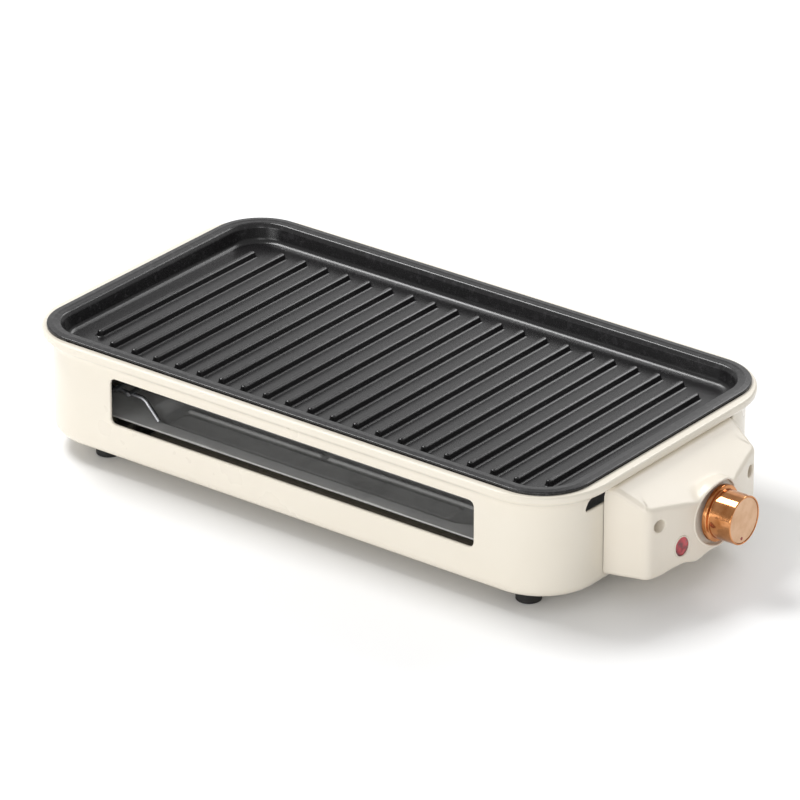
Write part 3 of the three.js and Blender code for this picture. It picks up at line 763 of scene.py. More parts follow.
def rod(path: np.ndarray, radius: float, sides: int, upright: Sequence[float]) -> np.ndarray:
    """Round bar along a path that lies in a plane.

    At each point the section is path + radius * (side cos a + upright sin a), where upright is square to the
    plane and side is square to both it and the path. The ends close on the path.

    Args:
        path: The points of the path.
        radius: The bar's radius.
        sides: Points round the bar.
        upright: Unit vector square to the path's plane.

    Returns:
        The points as (rows, sides, 3).
    """
    path = np.concatenate([path[:1], path, path[-1:]])
    up = np.asarray(upright, float)
    forward = np.gradient(path, axis=0)
    forward[0], forward[-1] = forward[1], forward[-2]
    side = np.cross(up, forward)
    side /= np.linalg.norm(side, axis=1, keepdims=True)
    angle = np.linspace(0, 2 * math.pi, sides, endpoint=False)
    width = np.full(len(path), radius)
    width[[0, -1]] = 0
    around = side[:, None] * np.cos(angle)[None, :, None] + up * np.sin(angle)[None, :, None]
    return path[:, None] + around * width[:, None, None]


def slab(top: np.ndarray, thickness: float) -> np.ndarray:
    """A sheet as rows that go over its top and back along its underside, joined at the ends of each row.

    Args:
        top: The upper surface as (rows, columns, 3).
        thickness: How far the underside lies below it.

    Returns:
        Closed rows; the first and last rows are folded shut so that the sheet's ends are closed too.
    """
    under = top[:, ::-1] - (0, 0, thickness)
    both = np.concatenate([top, under], axis=1)
    fold = np.concatenate([top, top[:, ::-1]], axis=1) - (0, 0, thickness / 2)
    return np.concatenate([fold[:1], both, fold[-1:]])


def dressed(piece: bpy.types.Object, body: Body, slot: Slot, finishes: Finishes, *nodes: str) -> None:
    """Gives a piece its finish and its place in the frame.

    Args:
        piece: The finished piece.
        body: The body it rides on.
        slot: Its material slot.
        finishes: The materials.
        nodes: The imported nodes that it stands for.
    """
    piece.data.materials.append(finishes.materials[slot])
    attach(piece, body.value)
    if nodes:
        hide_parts(*nodes)
    LOG.info("%s: %d faces on %s", piece.name, len(piece.data.polygons), body.value)


@dataclass
class Opening:
    """A rounded opening through the shell's wall, in arc length s and height z, and the panel round it."""

    s_low: float
    s_high: float
    z_low: float
    z_high: float
    corner: float
    margin: float
    columns: int
    rows: int
    lean: float = 0.0

    def panel_s(self) -> np.ndarray:
        """Arc lengths of the panel's columns."""
        return np.round(crowded(self.s_low - self.margin, self.s_high + self.margin, self.columns), 5)

    def panel_z(self) -> np.ndarray:
        """Heights of the panel's rows."""
        return np.round(crowded(self.z_low - self.margin, self.z_high + self.margin, self.rows), 5)

    @staticmethod
    def _round_trip(first: np.ndarray, second: np.ndarray) -> np.ndarray:
        """The border of a grid, once round: along the bottom, up, back along the top and down.

        Args:
            first: The grid's first coordinates.
            second: Its second coordinates.

        Returns:
            The border's points, without the one that repeats the start.
        """
        bottom = np.stack([first[:-1], np.full(len(first) - 1, second[0])], -1)
        right = np.stack([np.full(len(second) - 1, first[-1]), second[:-1]], -1)
        top = np.stack([first[:0:-1], np.full(len(first) - 1, second[-1])], -1)
        left = np.stack([np.full(len(second) - 1, first[0]), second[:0:-1]], -1)
        return np.concatenate([bottom, right, top, left])

    def border(self) -> np.ndarray:
        """The panel's border as (s, z) points."""
        return self._round_trip(self.panel_s(), self.panel_z())

    def edge(self, grow: float) -> np.ndarray:
        """The opening's edge as (s, z) points that match the border's.

        Each point of the opening's rectangle that is beyond a corner's centre moves out from that centre to
        the corner's radius. The first end then leans: its top is moved along the wall by the lean.

        Args:
            grow: How far the edge is moved outwards.

        Returns:
            The points.
        """
        low = np.array([self.s_low, self.z_low]) - grow
        high = np.array([self.s_high, self.z_high]) + grow
        radius = self.corner + grow
        points = self._round_trip(crowded(low[0], high[0], self.columns), crowded(low[1], high[1], self.rows))
        centre = np.clip(points, low + radius, high - radius)
        out = points - centre
        line = centre + out / np.linalg.norm(out, axis=1, keepdims=True) * radius
        share = (line - low) / (high - low)
        line[:, 0] += self.lean * share[:, 1] * (1 - share[:, 0])
        return line


@dataclass
class OuterShell:
    """The drawn steel body: floor, wall and flared lip, with the front window and the end slot."""

    outline: RoundedOutline = RoundedOutline(212, 115.5, 42)
    sheet: float = 1.6
    floor_z: float = 12.0
    edge: float = 12.0
    lip_top: float = 85.5
    window: tuple[float, float, float, float] = (-142, 149, 37, 69)
    window_corner: float = 4.0
    slot: tuple[float, float, float, float] = (-84, 72, 67.5, 77)
    slot_corner: float = 3.0
    slot_lean: float = 5.5
    rolled: tuple[tuple[float, float], ...] = (
        (0.9, 0), (0.72, 0.02), (0.4, 0.12), (0.12, 0.3), (0, 0.56), (0, 1))

    def outer_line(self) -> np.ndarray:
        """Outside of the wall as (offset from the outline, z), from the floor's edge to the lip's top."""
        corners = [(-self.edge - 3, self.floor_z), (0, self.floor_z), (0, 76.0), (5.6, 79.6), (7.0, 81.2),
                   (7.0, 84.4), (6.0, self.lip_top), (-self.sheet + 0.9, self.lip_top)]
        return rounded_line(corners, [0, self.edge, 6, 2.2, 1.4, 1.0, 0.8, 0], 7)

    def inner_line(self) -> np.ndarray:
        """Inside of the wall from the lip's top down to the floor."""
        corners = [(-self.sheet + 0.9, self.lip_top), (-self.sheet, self.lip_top),
                   (-self.sheet, self.floor_z + self.sheet), (-self.edge - 3, self.floor_z + self.sheet)]
        return rounded_line(corners, [0, 0.7, self.edge - self.sheet, 0], 6)

    def openings(self) -> tuple[Opening, Opening]:
        """The openings in the wall.

        Returns:
            The front window and the end slot.
        """
        left, right, low, high = self.window
        window = Opening(self.outline.front(left), self.outline.front(right), low, high,
                         self.window_corner, 2.4, 52, 14)
        front, back, low, high = self.slot
        slot = Opening(self.outline.right(front), self.outline.right(back), low, high,
                       self.slot_corner, 2.0, 40, 10, self.slot_lean)
        return window, slot

    def _wall(self, line: np.ndarray, s: np.ndarray,
              heights: Sequence[float]) -> tuple[np.ndarray, np.ndarray]:
        """Wall points over all stations, with rows added at the given heights.

        Args:
            line: The wall's (offset, z) line.
            s: Arc lengths of the columns.
            heights: Heights at which the wall needs a row.

        Returns:
            The points as (rows, columns, 3) and the rows' heights.
        """
        upward = line[-1, 1] > line[0, 1]
        ordered = line if upward else line[::-1]
        steep = np.flatnonzero(np.diff(ordered[:, 1]) > 1e-6)
        low, high = steep[0], steep[-1] + 1
        run = run_lengths(ordered)
        extra = np.interp(heights, ordered[low:high + 1, 1], run[low:high + 1])
        rows = np.unique(np.round(np.concatenate([run, extra]), 4))
        offset, z = np.interp(rows, run, ordered[:, 0]), np.interp(rows, run, ordered[:, 1])
        snapped = np.asarray(heights)[np.abs(np.subtract.outer(z, heights)).argmin(1)]
        z = np.where(np.abs(z - snapped) < 1e-3, snapped, z)
        base, normal = self.outline.at(s)
        plan = base[None] + normal[None] * offset[:, None, None]
        points = np.concatenate([plan, np.broadcast_to(z[:, None, None], (*plan.shape[:2], 1))], -1)
        return points, z

    def _cells_outside(self, s: np.ndarray, z: np.ndarray, openings: Sequence[Opening]) -> np.ndarray:
        """Which cells of the wall lie outside the openings' panels.

        Args:
            s: Arc lengths of the wall's columns.
            z: Heights of its rows.
            openings: The openings.

        Returns:
            One boolean for each cell.
        """
        s_middle = (s + np.append(s[1:], self.outline.length)) / 2
        z_middle = (z[:-1] + z[1:]) / 2
        keep = np.ones((len(z_middle), len(s_middle)), bool)
        for opening in openings:
            panel_s, panel_z = opening.panel_s(), opening.panel_z()
            inside = np.outer((z_middle > panel_z[0]) & (z_middle < panel_z[-1]),
                              (s_middle > panel_s[0]) & (s_middle < panel_s[-1]))
            keep &= ~inside
        return keep

    def _on_wall(self, points: np.ndarray, through: float) -> np.ndarray:
        """Points (s, z) put on the wall: at outline(s) + offset * normal(s) and height z.

        Args:
            points: The points as (..., 2).
            through: 0 on the wall's outside and 1 on its inside.

        Returns:
            The points as (..., 3).
        """
        line = self.outer_line()
        steep = np.flatnonzero(np.diff(line[:, 1]) > 1e-6)
        part = line[steep[0]:steep[-1] + 2]
        base, normal = self.outline.at(points[..., 0])
        outside = np.interp(points[..., 1], part[:, 1], part[:, 0])
        offset = outside + (-self.sheet - outside) * through
        return np.concatenate([base + normal * offset[..., None], points[..., 1:]], -1)

    def build(self, datum: float, finishes: Finishes) -> None:
        """Makes the shell as one closed skin with its two openings.

        Args:
            datum: Where the body's middle lies along x in the frame, in millimetres.
            finishes: The materials.
        """
        openings = self.openings()
        s = self.outline.stations(16, 24, np.concatenate([o.panel_s() for o in openings]))
        heights = np.concatenate([o.panel_z() for o in openings])
        skin = Skin("shell")
        for line, flip, through in ((self.outer_line(), False, 0.0), (self.inner_line(), True, 1.0)):
            points, z = self._wall(line, s, heights)
            skin.add(points, True, self._cells_outside(s, z, openings), flip)
            skin.add(self.outline.inside(points[0]), True, flip=not flip)
            for opening in openings:
                border, edge = opening.border(), opening.edge(self.rolled[0][0] if through == 0 else 0)
                share = np.array([0, 0.4, 0.8, 1])[:, None, None]
                patch = self._on_wall(border + (edge - border) * share, through)
                skin.add(patch, True, flip=flip)
        for opening in openings:
            rings = [self._on_wall(opening.edge(grow), through) for grow, through in self.rolled]
            skin.add(np.stack(rings), True)
        dressed(skin.build(datum), Body.BASE, Slot.PAINT, finishes, "outer_shell")


@dataclass
class GriddlePan:
    """The cast pan: rolled rim, a narrow step inside it, sloping wall, flat floor and its ribs."""

    outline: RoundedOutline = RoundedOutline(212, 117, 35)
    top: float = 88.0
    floor: float = 74.6
    under: float = 71.4
    rib_count: int = 21
    rib_pitch: float = 18.0
    rib_middle: float = -0.6
    rib_half_length: float = 89.6
    rib_end_cut: float = 9.0
    rib_height: float = 4.2

    def profile(self) -> np.ndarray:
        """The coated face's section, from the rim's edge to the floor.

        Returns:
            Its points as (offset from the rim's outline, z).
        """
        top, floor = self.top, self.floor
        corners = [(0, top - 2.2), (0, top - 0.4), (-4.2, top), (-5.6, top - 0.25), (-8.8, top - 0.55),
                   (-10.6, top - 3.0), (-12.6, floor), (-26, floor)]
        radii = [0, 0.9, 2.4, 2.4, 2.0, 3.0, 4.0, 0]
        return rounded_line(corners, radii, 7)

    def back(self) -> np.ndarray:
        """The bare underside's section, from the floor out to the rim's edge.

        Returns:
            Its points as (offset from the rim's outline, z).
        """
        under = self.under
        corners = [(-26, under), (-12.6, under), (-9.8, self.top - 2.2), (0, self.top - 2.2)]
        return rounded_line(corners, [0, 3.4, 1.2, 0], 7)

    def face(self, name: str, line: np.ndarray, depth: float) -> Skin:
        """One face of the pan as a thin closed sheet: the section carried round the outline.

        At arc length s and section point (offset, z) the surface lies at outline(s) + offset * normal(s). The
        sheet's other side is the same surface moved by the depth.

        Args:
            name: The piece's name.
            line: The section.
            depth: How far the sheet's hidden side lies above it.

        Returns:
            The closed skin.
        """
        base, normal = self.outline.at(self.outline.stations(20, 60))
        plan = base[None] + normal[None] * line[:, :1, None]
        height = np.broadcast_to(line[:, 1:, None], (*plan.shape[:2], 1))
        points = np.concatenate([plan, height], -1)
        inner = 0 if line[0, 0] < line[-1, 0] else -1
        skin = Skin(name)
        for shift in (0.0, depth):
            moved = points + (0, 0, shift)
            skin.add(moved, True).add(self.outline.inside(moved[inner]), True)
        outer = points[-1 - inner]
        return skin.add(np.stack([outer, outer + (0, 0, depth)]), True)

    def rib(self, x: float, half_length: float) -> np.ndarray:
        """One rib as a raised band.

        A point at distance d from the rib's middle line, in direction a, lies at (x + d cos a, end + d sin a)
        and at the height that the rib's section has at d. The section is a crowned crest, a steep side and a
        small fillet onto the floor.

        Args:
            x: Where the rib's middle line lies.
            half_length: Half of the rib's length.

        Returns:
            The points as (rows, columns, 3).
        """
        crest = self.rib_height
        corners = [(0, crest), (0.9, crest - 0.08), (1.9, crest - 0.55), (2.75, 0.3), (3.9, 0.012), (3.9, -0.2),
                   (0, -0.2)]
        line = rounded_line(corners, [0, 3.0, 1.0, 0.9, 0, 0, 0], 5, 0.15)
        angle = np.concatenate([np.linspace(0, math.pi, 13), np.linspace(math.pi, 2 * math.pi, 13)])
        end = np.where(np.arange(26) < 13, 1, -1) * (half_length - 2.7)
        distance, height = line[:, :1], line[:, 1:]
        return np.stack([x + distance * np.cos(angle), end + distance * np.sin(angle),
                         self.floor + height + 0 * angle], -1)

    def ribs(self) -> Skin:
        """All the ribs; the outermost two are shorter.

        Returns:
            Their skin.
        """
        skin = Skin("griddle_ribs")
        places = self.rib_middle + (np.arange(self.rib_count) - (self.rib_count - 1) / 2) * self.rib_pitch
        for x in places:
            shorter = self.rib_end_cut if x in (places[0], places[-1]) else 0
            skin.add(self.rib(x, self.rib_half_length - shorter), True)
        return skin

    def build(self, datum: float, finishes: Finishes) -> None:
        """Makes the coated dish, its bare underside and the ribs.

        Args:
            datum: Where the body's middle lies along x in the frame, in millimetres.
            finishes: The materials.
        """
        dish = self.face("griddle_dish", self.profile(), -0.4)
        dressed(dish.build(datum), Body.GRIDDLE, Slot.NON_STICK, finishes, "griddle_pan")
        under = self.face("griddle_underside", self.back(), 0.4)
        dressed(under.build(datum), Body.GRIDDLE, Slot.SATIN, finishes)
        dressed(self.ribs().build(datum), Body.GRIDDLE, Slot.NON_STICK, finishes)


@dataclass
class Reflector:
    """The pressed reflector tray under the element, with its rolled hem and embossed panels."""

    flange: tuple[float, float, float] = (176, 105, 6)
    basin: tuple[float, float, float] = (132, 90, 17)
    wall: float = 5.0
    top: float = 37.0
    depth: float = 5.0
    sheet: float = 1.0
    hem: float = 0.75
    flat: tuple[float, float] = (169.2, 98.2)
    rounding: float = 6.0

    @staticmethod
    def _outside(x: np.ndarray, y: np.ndarray, size: tuple[float, float, float]) -> np.ndarray:
        """Signed distance of points from a rounded rectangle; negative inside.

        Args:
            x: The points' x.
            y: The points' y.
            size: The rectangle's half x, half y and corner.

        Returns:
            The distances.
        """
        half_x, half_y, corner = size
        over = np.stack([np.abs(x) - half_x + corner, np.abs(y) - half_y + corner])
        return np.linalg.norm(np.maximum(over, 0), axis=0) + np.minimum(over.max(0), 0) - corner

    @staticmethod
    def _step(value: np.ndarray, low: float, high: float) -> np.ndarray:
        """Zero below low, one above high and an S-curve between."""
        share = np.clip((value - low) / (high - low), 0, 1)
        return share * share * (3 - 2 * share)

    def height(self, x: np.ndarray, y: np.ndarray) -> np.ndarray:
        """Height of the tray's upper face.

        The basin sinks below the flange over its sloping wall. A long raised panel runs along the front and
        the back of its floor, and a narrow bead with a gap in it stands behind each.

        Args:
            x: The points' x.
            y: The points' y.

        Returns:
            The heights.
        """
        sunk = 1 - self._step(self._outside(x, y, self.basin), -self.wall, self.wall)
        side = np.abs(y)
        panel = 1 - self._step(self._outside(x + 6, side - 77, (112, 9, 4)), -0.8, 0.8)
        bead = 1 - self._step(self._outside(x - 4, side - 62.5, (124, 1.7, 1.5)), -0.9, 0.9)
        gap = self._step(np.abs(x + 8), 2.0, 4.0)
        shelf = 1 - self._step(side, 55.0, 56.6)
        wave = 0.18 * np.sin(x / 21 + np.sin(y / 13)) * self._step(self._outside(x, y, self.basin), -2, 6)
        return self.top - self.depth * sunk + 0.9 * panel + 1.3 * bead * gap + 0.8 * shelf * sunk + wave

    def build(self, datum: float, finishes: Finishes) -> None:
        """Makes the tray and the hem rolled along its edge.

        Args:
            datum: Where the body's middle lies along x in the frame, in millimetres.
            finishes: The materials.
        """
        x = np.unique(np.concatenate([np.linspace(-175.2, 175.2, 150), np.linspace(-140, -104, 40),
                                      np.linspace(98, 140, 44), np.linspace(-13, -3, 12)]))
        front = np.concatenate([np.linspace(-104.2, -82, 28), np.linspace(-81, -66, 12),
                                np.linspace(-65.5, -54, 24)])
        y = np.unique(np.concatenate([front, -front, np.linspace(-52, 52, 14)]))
        grid_x, grid_y = np.meshgrid(x, y, indexing="ij")
        over = np.maximum(np.stack([np.abs(grid_x) - self.flat[0], np.abs(grid_y) - self.flat[1]]), 0)
        reach = np.linalg.norm(over, axis=0)
        drawn = np.where(reach > self.rounding, self.rounding / np.maximum(reach, 1e-9), 1)
        grid_x = np.where(over[0] > 0, np.sign(grid_x) * (self.flat[0] + over[0] * drawn), grid_x)
        grid_y = np.where(over[1] > 0, np.sign(grid_y) * (self.flat[1] + over[1] * drawn), grid_y)
        tray = np.stack([grid_x, grid_y, self.height(grid_x, grid_y)], -1)
        skin = Skin("reflector").add(slab(tray, self.sheet), True)
        outline = RoundedOutline(self.flange[0] - self.hem, self.flange[1] - self.hem, self.flange[2] - 0.5)
        base, normal = outline.at(outline.stations(8, 20))
        angle = np.linspace(0, 2 * math.pi, 12, endpoint=False)
        plan = base[:, None] + normal[:, None] * self.hem * np.cos(angle)[None, :, None]
        height = self.top - 0.7 + self.hem * np.sin(angle)[None, :, None] + 0 * base[:, None, :1]
        hem = np.concatenate([plan, height], -1)
        skin.add(np.concatenate([hem, hem[:1]]), True)
        dressed(skin.build(datum), Body.BASE, Slot.POLISHED, finishes, "reflector_tray")


@dataclass
class Wirework:
    """The element's sheathed rod and the wire trestle under its far end."""

    wire: float = 1.5
    trestle_y: float = 97.0
    top: float = 51.6
    foot: float = 38.8
    cross_x: tuple[float, ...] = (-149, -137.5)
    cross_z: float = 54.2
    cross_reach: float = 103.0
    element_z: float = 59.3
    element_r: float = 3.3

    def trestle(self) -> Skin:
        """Two bent rods and the wires welded across them.

        Returns:
            Their skin.
        """
        skin = Skin("trestle")
        for side in (-1, 1):
            corners = [(-173, side * self.trestle_y, self.foot), (-162, side * self.trestle_y, self.top),
                       (-129, side * self.trestle_y, self.top), (-117, side * self.trestle_y, self.foot)]
            skin.add(rod(rounded_line(corners, [0, 7, 7, 0], 8), self.wire, 16, (0, 1, 0)), True)
        for x in self.cross_x:
            path = np.array([(x, side * self.cross_reach, self.cross_z) for side in (-1, 0, 1)])
            skin.add(rod(path, self.wire, 16, (0, 0, 1)), True)
        return skin

    def element(self) -> Skin:
        """The rod's run: in along one tail, out and back along four limbs, and out along the other tail.

        Returns:
            Its skin.
        """
        half = np.array([(216, 24), (187, 24), (187, 78), (-165, 78), (-165, 26), (150, 26)], float)
        plan = np.concatenate([half * (1, -1), half[::-1]])
        corners = np.column_stack([plan, np.full(len(plan), self.element_z)])
        path = rounded_line(corners, [0] + [13] * (len(plan) - 2) + [0], 10)
        return Skin("element").add(rod(path, self.element_r, 24, (0, 0, 1)), True)

    def build(self, datum: float, finishes: Finishes) -> None:
        """Makes both."""
        dressed(self.trestle().build(datum), Body.BASE, Slot.SATIN, finishes, "element_trestle")
        dressed(self.element().build(datum), Body.BASE, Slot.SHEATH, finishes, "heating_element")


@dataclass
class ControlHousing:
    """The moulded housing on the right end: sloping top, bowed front, knob well, lamp and screw recesses."""

    back_x: float = 212.4
    ridge_x: float = 218.0
    ridge_z: float = 79.0
    slope: float = 0.55
    back_half_y: float = 66.0
    corner: tuple[float, float] = (240.2, 57.6)
    corner_r: float = 7.0
    bow_end: float = 46.0
    bow_nose: float = 257.0
    bow_round: float = 3.0
    bow_slope: float = 0.295
    knob_z: float = 47.8
    collar_r: float = 22.6
    well_r: float = 21.0
    well_floor: float = 249.5
    lamp: tuple[float, float] = (-31.3, 34.7)
    lamp_tall: float = 1.25
    screws: tuple[tuple[float, float], ...] = ((-48.5, 54.0), (48.5, 54.0))

    def bow(self, y: np.ndarray) -> np.ndarray:
        """How far the bowed front reaches: x = nose - hypot(round, slope * y)."""
        return self.bow_nose - np.hypot(self.bow_round, self.bow_slope * y)

    def plan(self) -> tuple[np.ndarray, np.ndarray]:
        """The housing's plan from its back corner round the front.

        Returns:
            Its points and their outward normals.
        """
        corner_x, corner_y = self.corner
        end = self.bow_end
        corners = [(self.back_x, -self.back_half_y), (corner_x, -corner_y), (float(self.bow(end)), -end),
                   (float(self.bow(end - 2)), 2 - end)]
        first = rounded_line(corners, [0, self.corner_r, 0.2, 0], 12, 0.6)
        fine_y = np.arange(2.5 - end, end - 2.25, 0.5)
        middle = np.column_stack([self.bow(fine_y), fine_y])
        line = np.concatenate([first, middle, first[::-1] * (1, -1)])
        run = run_lengths(line)
        stations = np.unique(np.concatenate([np.arange(0, run[-1], 0.55), run[:18], run[-18:]]))
        line = np.column_stack([np.interp(stations, run, line[:, 0]), np.interp(stations, run, line[:, 1])])
        along = np.gradient(line, axis=0)
        normal = np.column_stack([along[:, 1], -along[:, 0]])
        return line, normal / np.linalg.norm(normal, axis=1, keepdims=True)

    def roof(self, x: np.ndarray, y: np.ndarray) -> np.ndarray:
        """Height of the top: level to the ridge, then falling, and swelling over the knob's collar.

        Both joins are the smooth maximum log(1 + exp(v / softness)) * softness of a height v and nothing.

        Args:
            x: The points' x.
            y: The points' y.

        Returns:
            The heights.
        """
        plane = self.ridge_z - self.slope * np.log1p(np.exp(np.clip((x - self.ridge_x) / 1.2, -30, 30))) * 1.2
        ring = self.knob_z + np.sqrt(np.maximum(self.collar_r ** 2 - y ** 2, 0))
        rise = np.log1p(np.exp(np.clip((ring - plane) / 1.6, -30, 30))) * 1.6
        near = np.clip((x - 238) / 13, 0, 1)
        return plane + rise * near * near * (3 - 2 * near) * (np.abs(y) < self.collar_r + 8)

    @staticmethod
    def bottom(y: np.ndarray) -> np.ndarray:
        """Height of the lower edge: it rises in a shallow wave from the corners to the middle.

        Args:
            y: The points' y.

        Returns:
            The heights, each the mean over 3 mm of the drawn wave.
        """
        side = np.abs(y)[..., None] + np.linspace(-1.5, 1.5, 7)
        places = [0, 6, 9, 12, 15, 19, 24, 29, 38, 47, 56, 66]
        heights = [24, 24, 23.6, 22.6, 21.2, 19.6, 20.8, 21.7, 20.4, 18.2, 18.3, 18.4]
        return np.interp(side, places, heights).mean(-1)

    def lip_clear(self, z: np.ndarray) -> np.ndarray:
        """Least x that stays clear of the shell's flared lip at height z."""
        return 212.45 + np.interp(z, [72, 76.5, 79.5, 80], [0, 1.0, 2.6, 3.0])

    def skin_points(self) -> np.ndarray:
        """The housing's skin as rows over the plan.

        Each column starts at the back of the underside and comes forward, rounds up into the wall with a
        quarter circle, climbs to the top, rounds over with an arc that ends along the roof's own slope and
        runs back over the roof. Each row's height is a share of the wall's own height at that place.

        Returns:
            The points as (rows, columns, 3).
        """
        line, normal = self.plan()
        x, y = line.T
        bottom_r, top_r = 3.0, 4.4 - 2.8 * np.clip((self.collar_r + 5 - np.abs(y)) / 10, 0, 1)
        low = self.bottom(y)
        fall = self.slope * normal[:, 0] / (1 + np.exp(np.clip((self.ridge_x - x) / 1.2, -30, 30)))
        turn = math.pi / 2 - np.arctan(fall)
        inset_top = line - normal * (top_r * (1 - np.cos(turn)))[:, None]
        high = self.roof(inset_top[:, 0], inset_top[:, 1])
        reach = self.back_half_y - 3
        back = np.column_stack([np.full(len(x), self.back_x), np.linspace(-reach, reach, len(x))])
        inset_low = line - normal * bottom_r
        rows = []
        for share in (1.0, 0.5, 0.04, 0.0):
            plan = inset_low + (back - inset_low) * share
            rows.append(np.column_stack([plan, low]))
        for angle in np.radians([12, 25, 38, 52, 65, 78, 90]):
            plan = line - normal * bottom_r * (1 - math.sin(angle))
            rows.append(np.column_stack([plan, low + bottom_r * (1 - math.cos(angle))]))
        wall_low, wall_high = low + bottom_r, high - top_r * np.sin(turn)
        for share in np.concatenate([[0.012], np.linspace(0.02, 0.98, 78), [0.988]]):
            rows.append(np.column_stack([line, wall_low + (wall_high - wall_low) * share]))
        for share in np.linspace(0, 1, 10):
            plan = line - normal * (top_r * (1 - np.cos(turn * share)))[:, None]
            rows.append(np.column_stack([plan, wall_high + top_r * np.sin(turn * share)]))
        for share in np.concatenate([[0.01], np.linspace(0.03, 1, 40)]):
            plan = inset_top + (back - inset_top) * share
            rows.append(np.column_stack([plan, self.roof(plan[:, 0], plan[:, 1])]))
        points = np.stack(rows)
        points[..., 0] = np.maximum(points[..., 0], self.lip_clear(points[..., 2]))
        return self._sunk(points)

    def _sunk(self, points: np.ndarray) -> np.ndarray:
        """Points of the front pushed back behind the knob's well, the lamp and the screw recesses.

        Args:
            points: The skin's points, which are changed.

        Returns:
            The same points.
        """
        holes = [(0.0, self.knob_z, (self.well_r + self.collar_r) / 2, 1.0, self.well_floor - 1.0, 0.0),
                 (*self.lamp, 6.5, self.lamp_tall, 0.0, 4.0),
                 *((*place, 4.8, 1.0, 0.0, 13.0) for place in self.screws)]
        for y, z, radius, tall, floor, depth in holes:
            away = np.hypot(points[..., 1] - y, (points[..., 2] - z) / tall)
            inside = (away < radius) & (points[..., 0] > 232)
            target = np.where(depth > 0, points[..., 0] - depth, floor)
            points[..., 0] = np.where(inside, np.minimum(points[..., 0], target), points[..., 0])
        return points

    def ring(self, y: float, z: float, line: np.ndarray, sides: int = 96, tall: float = 1.0) -> np.ndarray:
        """A round or oval moulding on the bowed front.

        At angle a and radius r a point lies at (bow(y) + rise, y + r cos a, z + tall r sin a), so the moulding
        follows the bow.

        Args:
            y: Centre of the moulding.
            z: Its height.
            line: The section as (rise, radius).
            sides: Points round it.
            tall: Its height over its width.

        Returns:
            The points as (rows, sides, 3).
        """
        round_it = turned(line, sides)
        side = y + round_it[..., 1]
        return np.stack([self.bow(side) + round_it[..., 0], side, z + tall * round_it[..., 2]], -1)

    def build(self, datum: float, finishes: Finishes) -> None:
        """Makes the housing with its collar, lamp seat and screw recesses as one piece, and the lamp.

        Args:
            datum: Where the body's middle lies along x in the frame, in millimetres.
            finishes: The materials.
        """
        points = self.skin_points()
        skin = Skin("housing").add(np.concatenate([points, points[:1]]))
        ends = [points[:, :1], points[:, -1:]]
        for end in ends:
            middle = np.broadcast_to(end.mean(0, keepdims=True), end.shape)
            strip = np.concatenate([end, middle], axis=1)
            skin.add(np.concatenate([strip, strip[:1]]))
        section = [(-3.5, self.collar_r), (0.35, self.collar_r), (0.35, self.well_r), (-6.5, self.well_r)]
        outer = self.ring(0, self.knob_z, rounded_line(section, [0, 0.9, 0.7, 0], 6, 0.2), 128)
        outer[-1, :, 0] = self.well_floor
        deep, under = self.well_floor, self.well_floor - 2.5
        floor = turned(np.array([(deep, self.well_r), (deep, self.well_r - 0.2), (deep, 12.0), (deep, 4.95),
                                 (deep - 0.1, 4.9), (under, 4.9), (under, self.collar_r)]), 128)
        skin.add(np.concatenate([outer, floor + (0, 0, self.knob_z), outer[:1]]), True)
        for y, z in self.screws:
            section = [(-0.7, 5.6), (0.02, 5.5), (0.02, 4.2), (-12.5, 4.1), (-12.5, 4.3), (-0.9, 4.6),
                       (-0.7, 5.6)]
            line = rounded_line(section, [0, 0.1, 0.9, 0, 0, 0, 0], 6, 0.2)
            skin.add(self.ring(y, z, line, 48), True)
        y, z = self.lamp
        seat = rounded_line([(-3.0, 7.3), (0.05, 7.2), (0.05, 6.0), (-3.0, 5.95), (-3.0, 7.3)],
                            [0, 0.2, 0.3, 0, 0], 5, 0.1)
        skin.add(self.ring(y, z, seat, 64, self.lamp_tall), True)
        dressed(skin.build(datum), Body.BASE, Slot.PLASTIC, finishes, "control_housing")
        bezel = rounded_line([(-3.0, 5.92), (0.45, 5.92), (0.45, 5.3), (-3.0, 5.25), (-3.0, 5.92)],
                             [0, 0.25, 0.25, 0, 0], 5, 0.1)
        made = Skin("lamp_ring").add(self.ring(y, z, bezel, 64, self.lamp_tall), True).build(datum)
        dressed(made, Body.BASE, Slot.PLASTIC, finishes, "lamp_bezel")
        radius = np.linspace(0, 5.2, 12)
        dome = np.column_stack([0.25 - 0.03 * radius ** 2, radius])
        lens = np.concatenate([dome, [(-2.6, 5.2), (-2.6, 0)]])
        made = Skin("lamp_glass").add(self.ring(y, z, lens, 64, self.lamp_tall), True).build(datum)
        dressed(made, Body.BASE, Slot.RED_LENS, finishes, "lamp_lens")


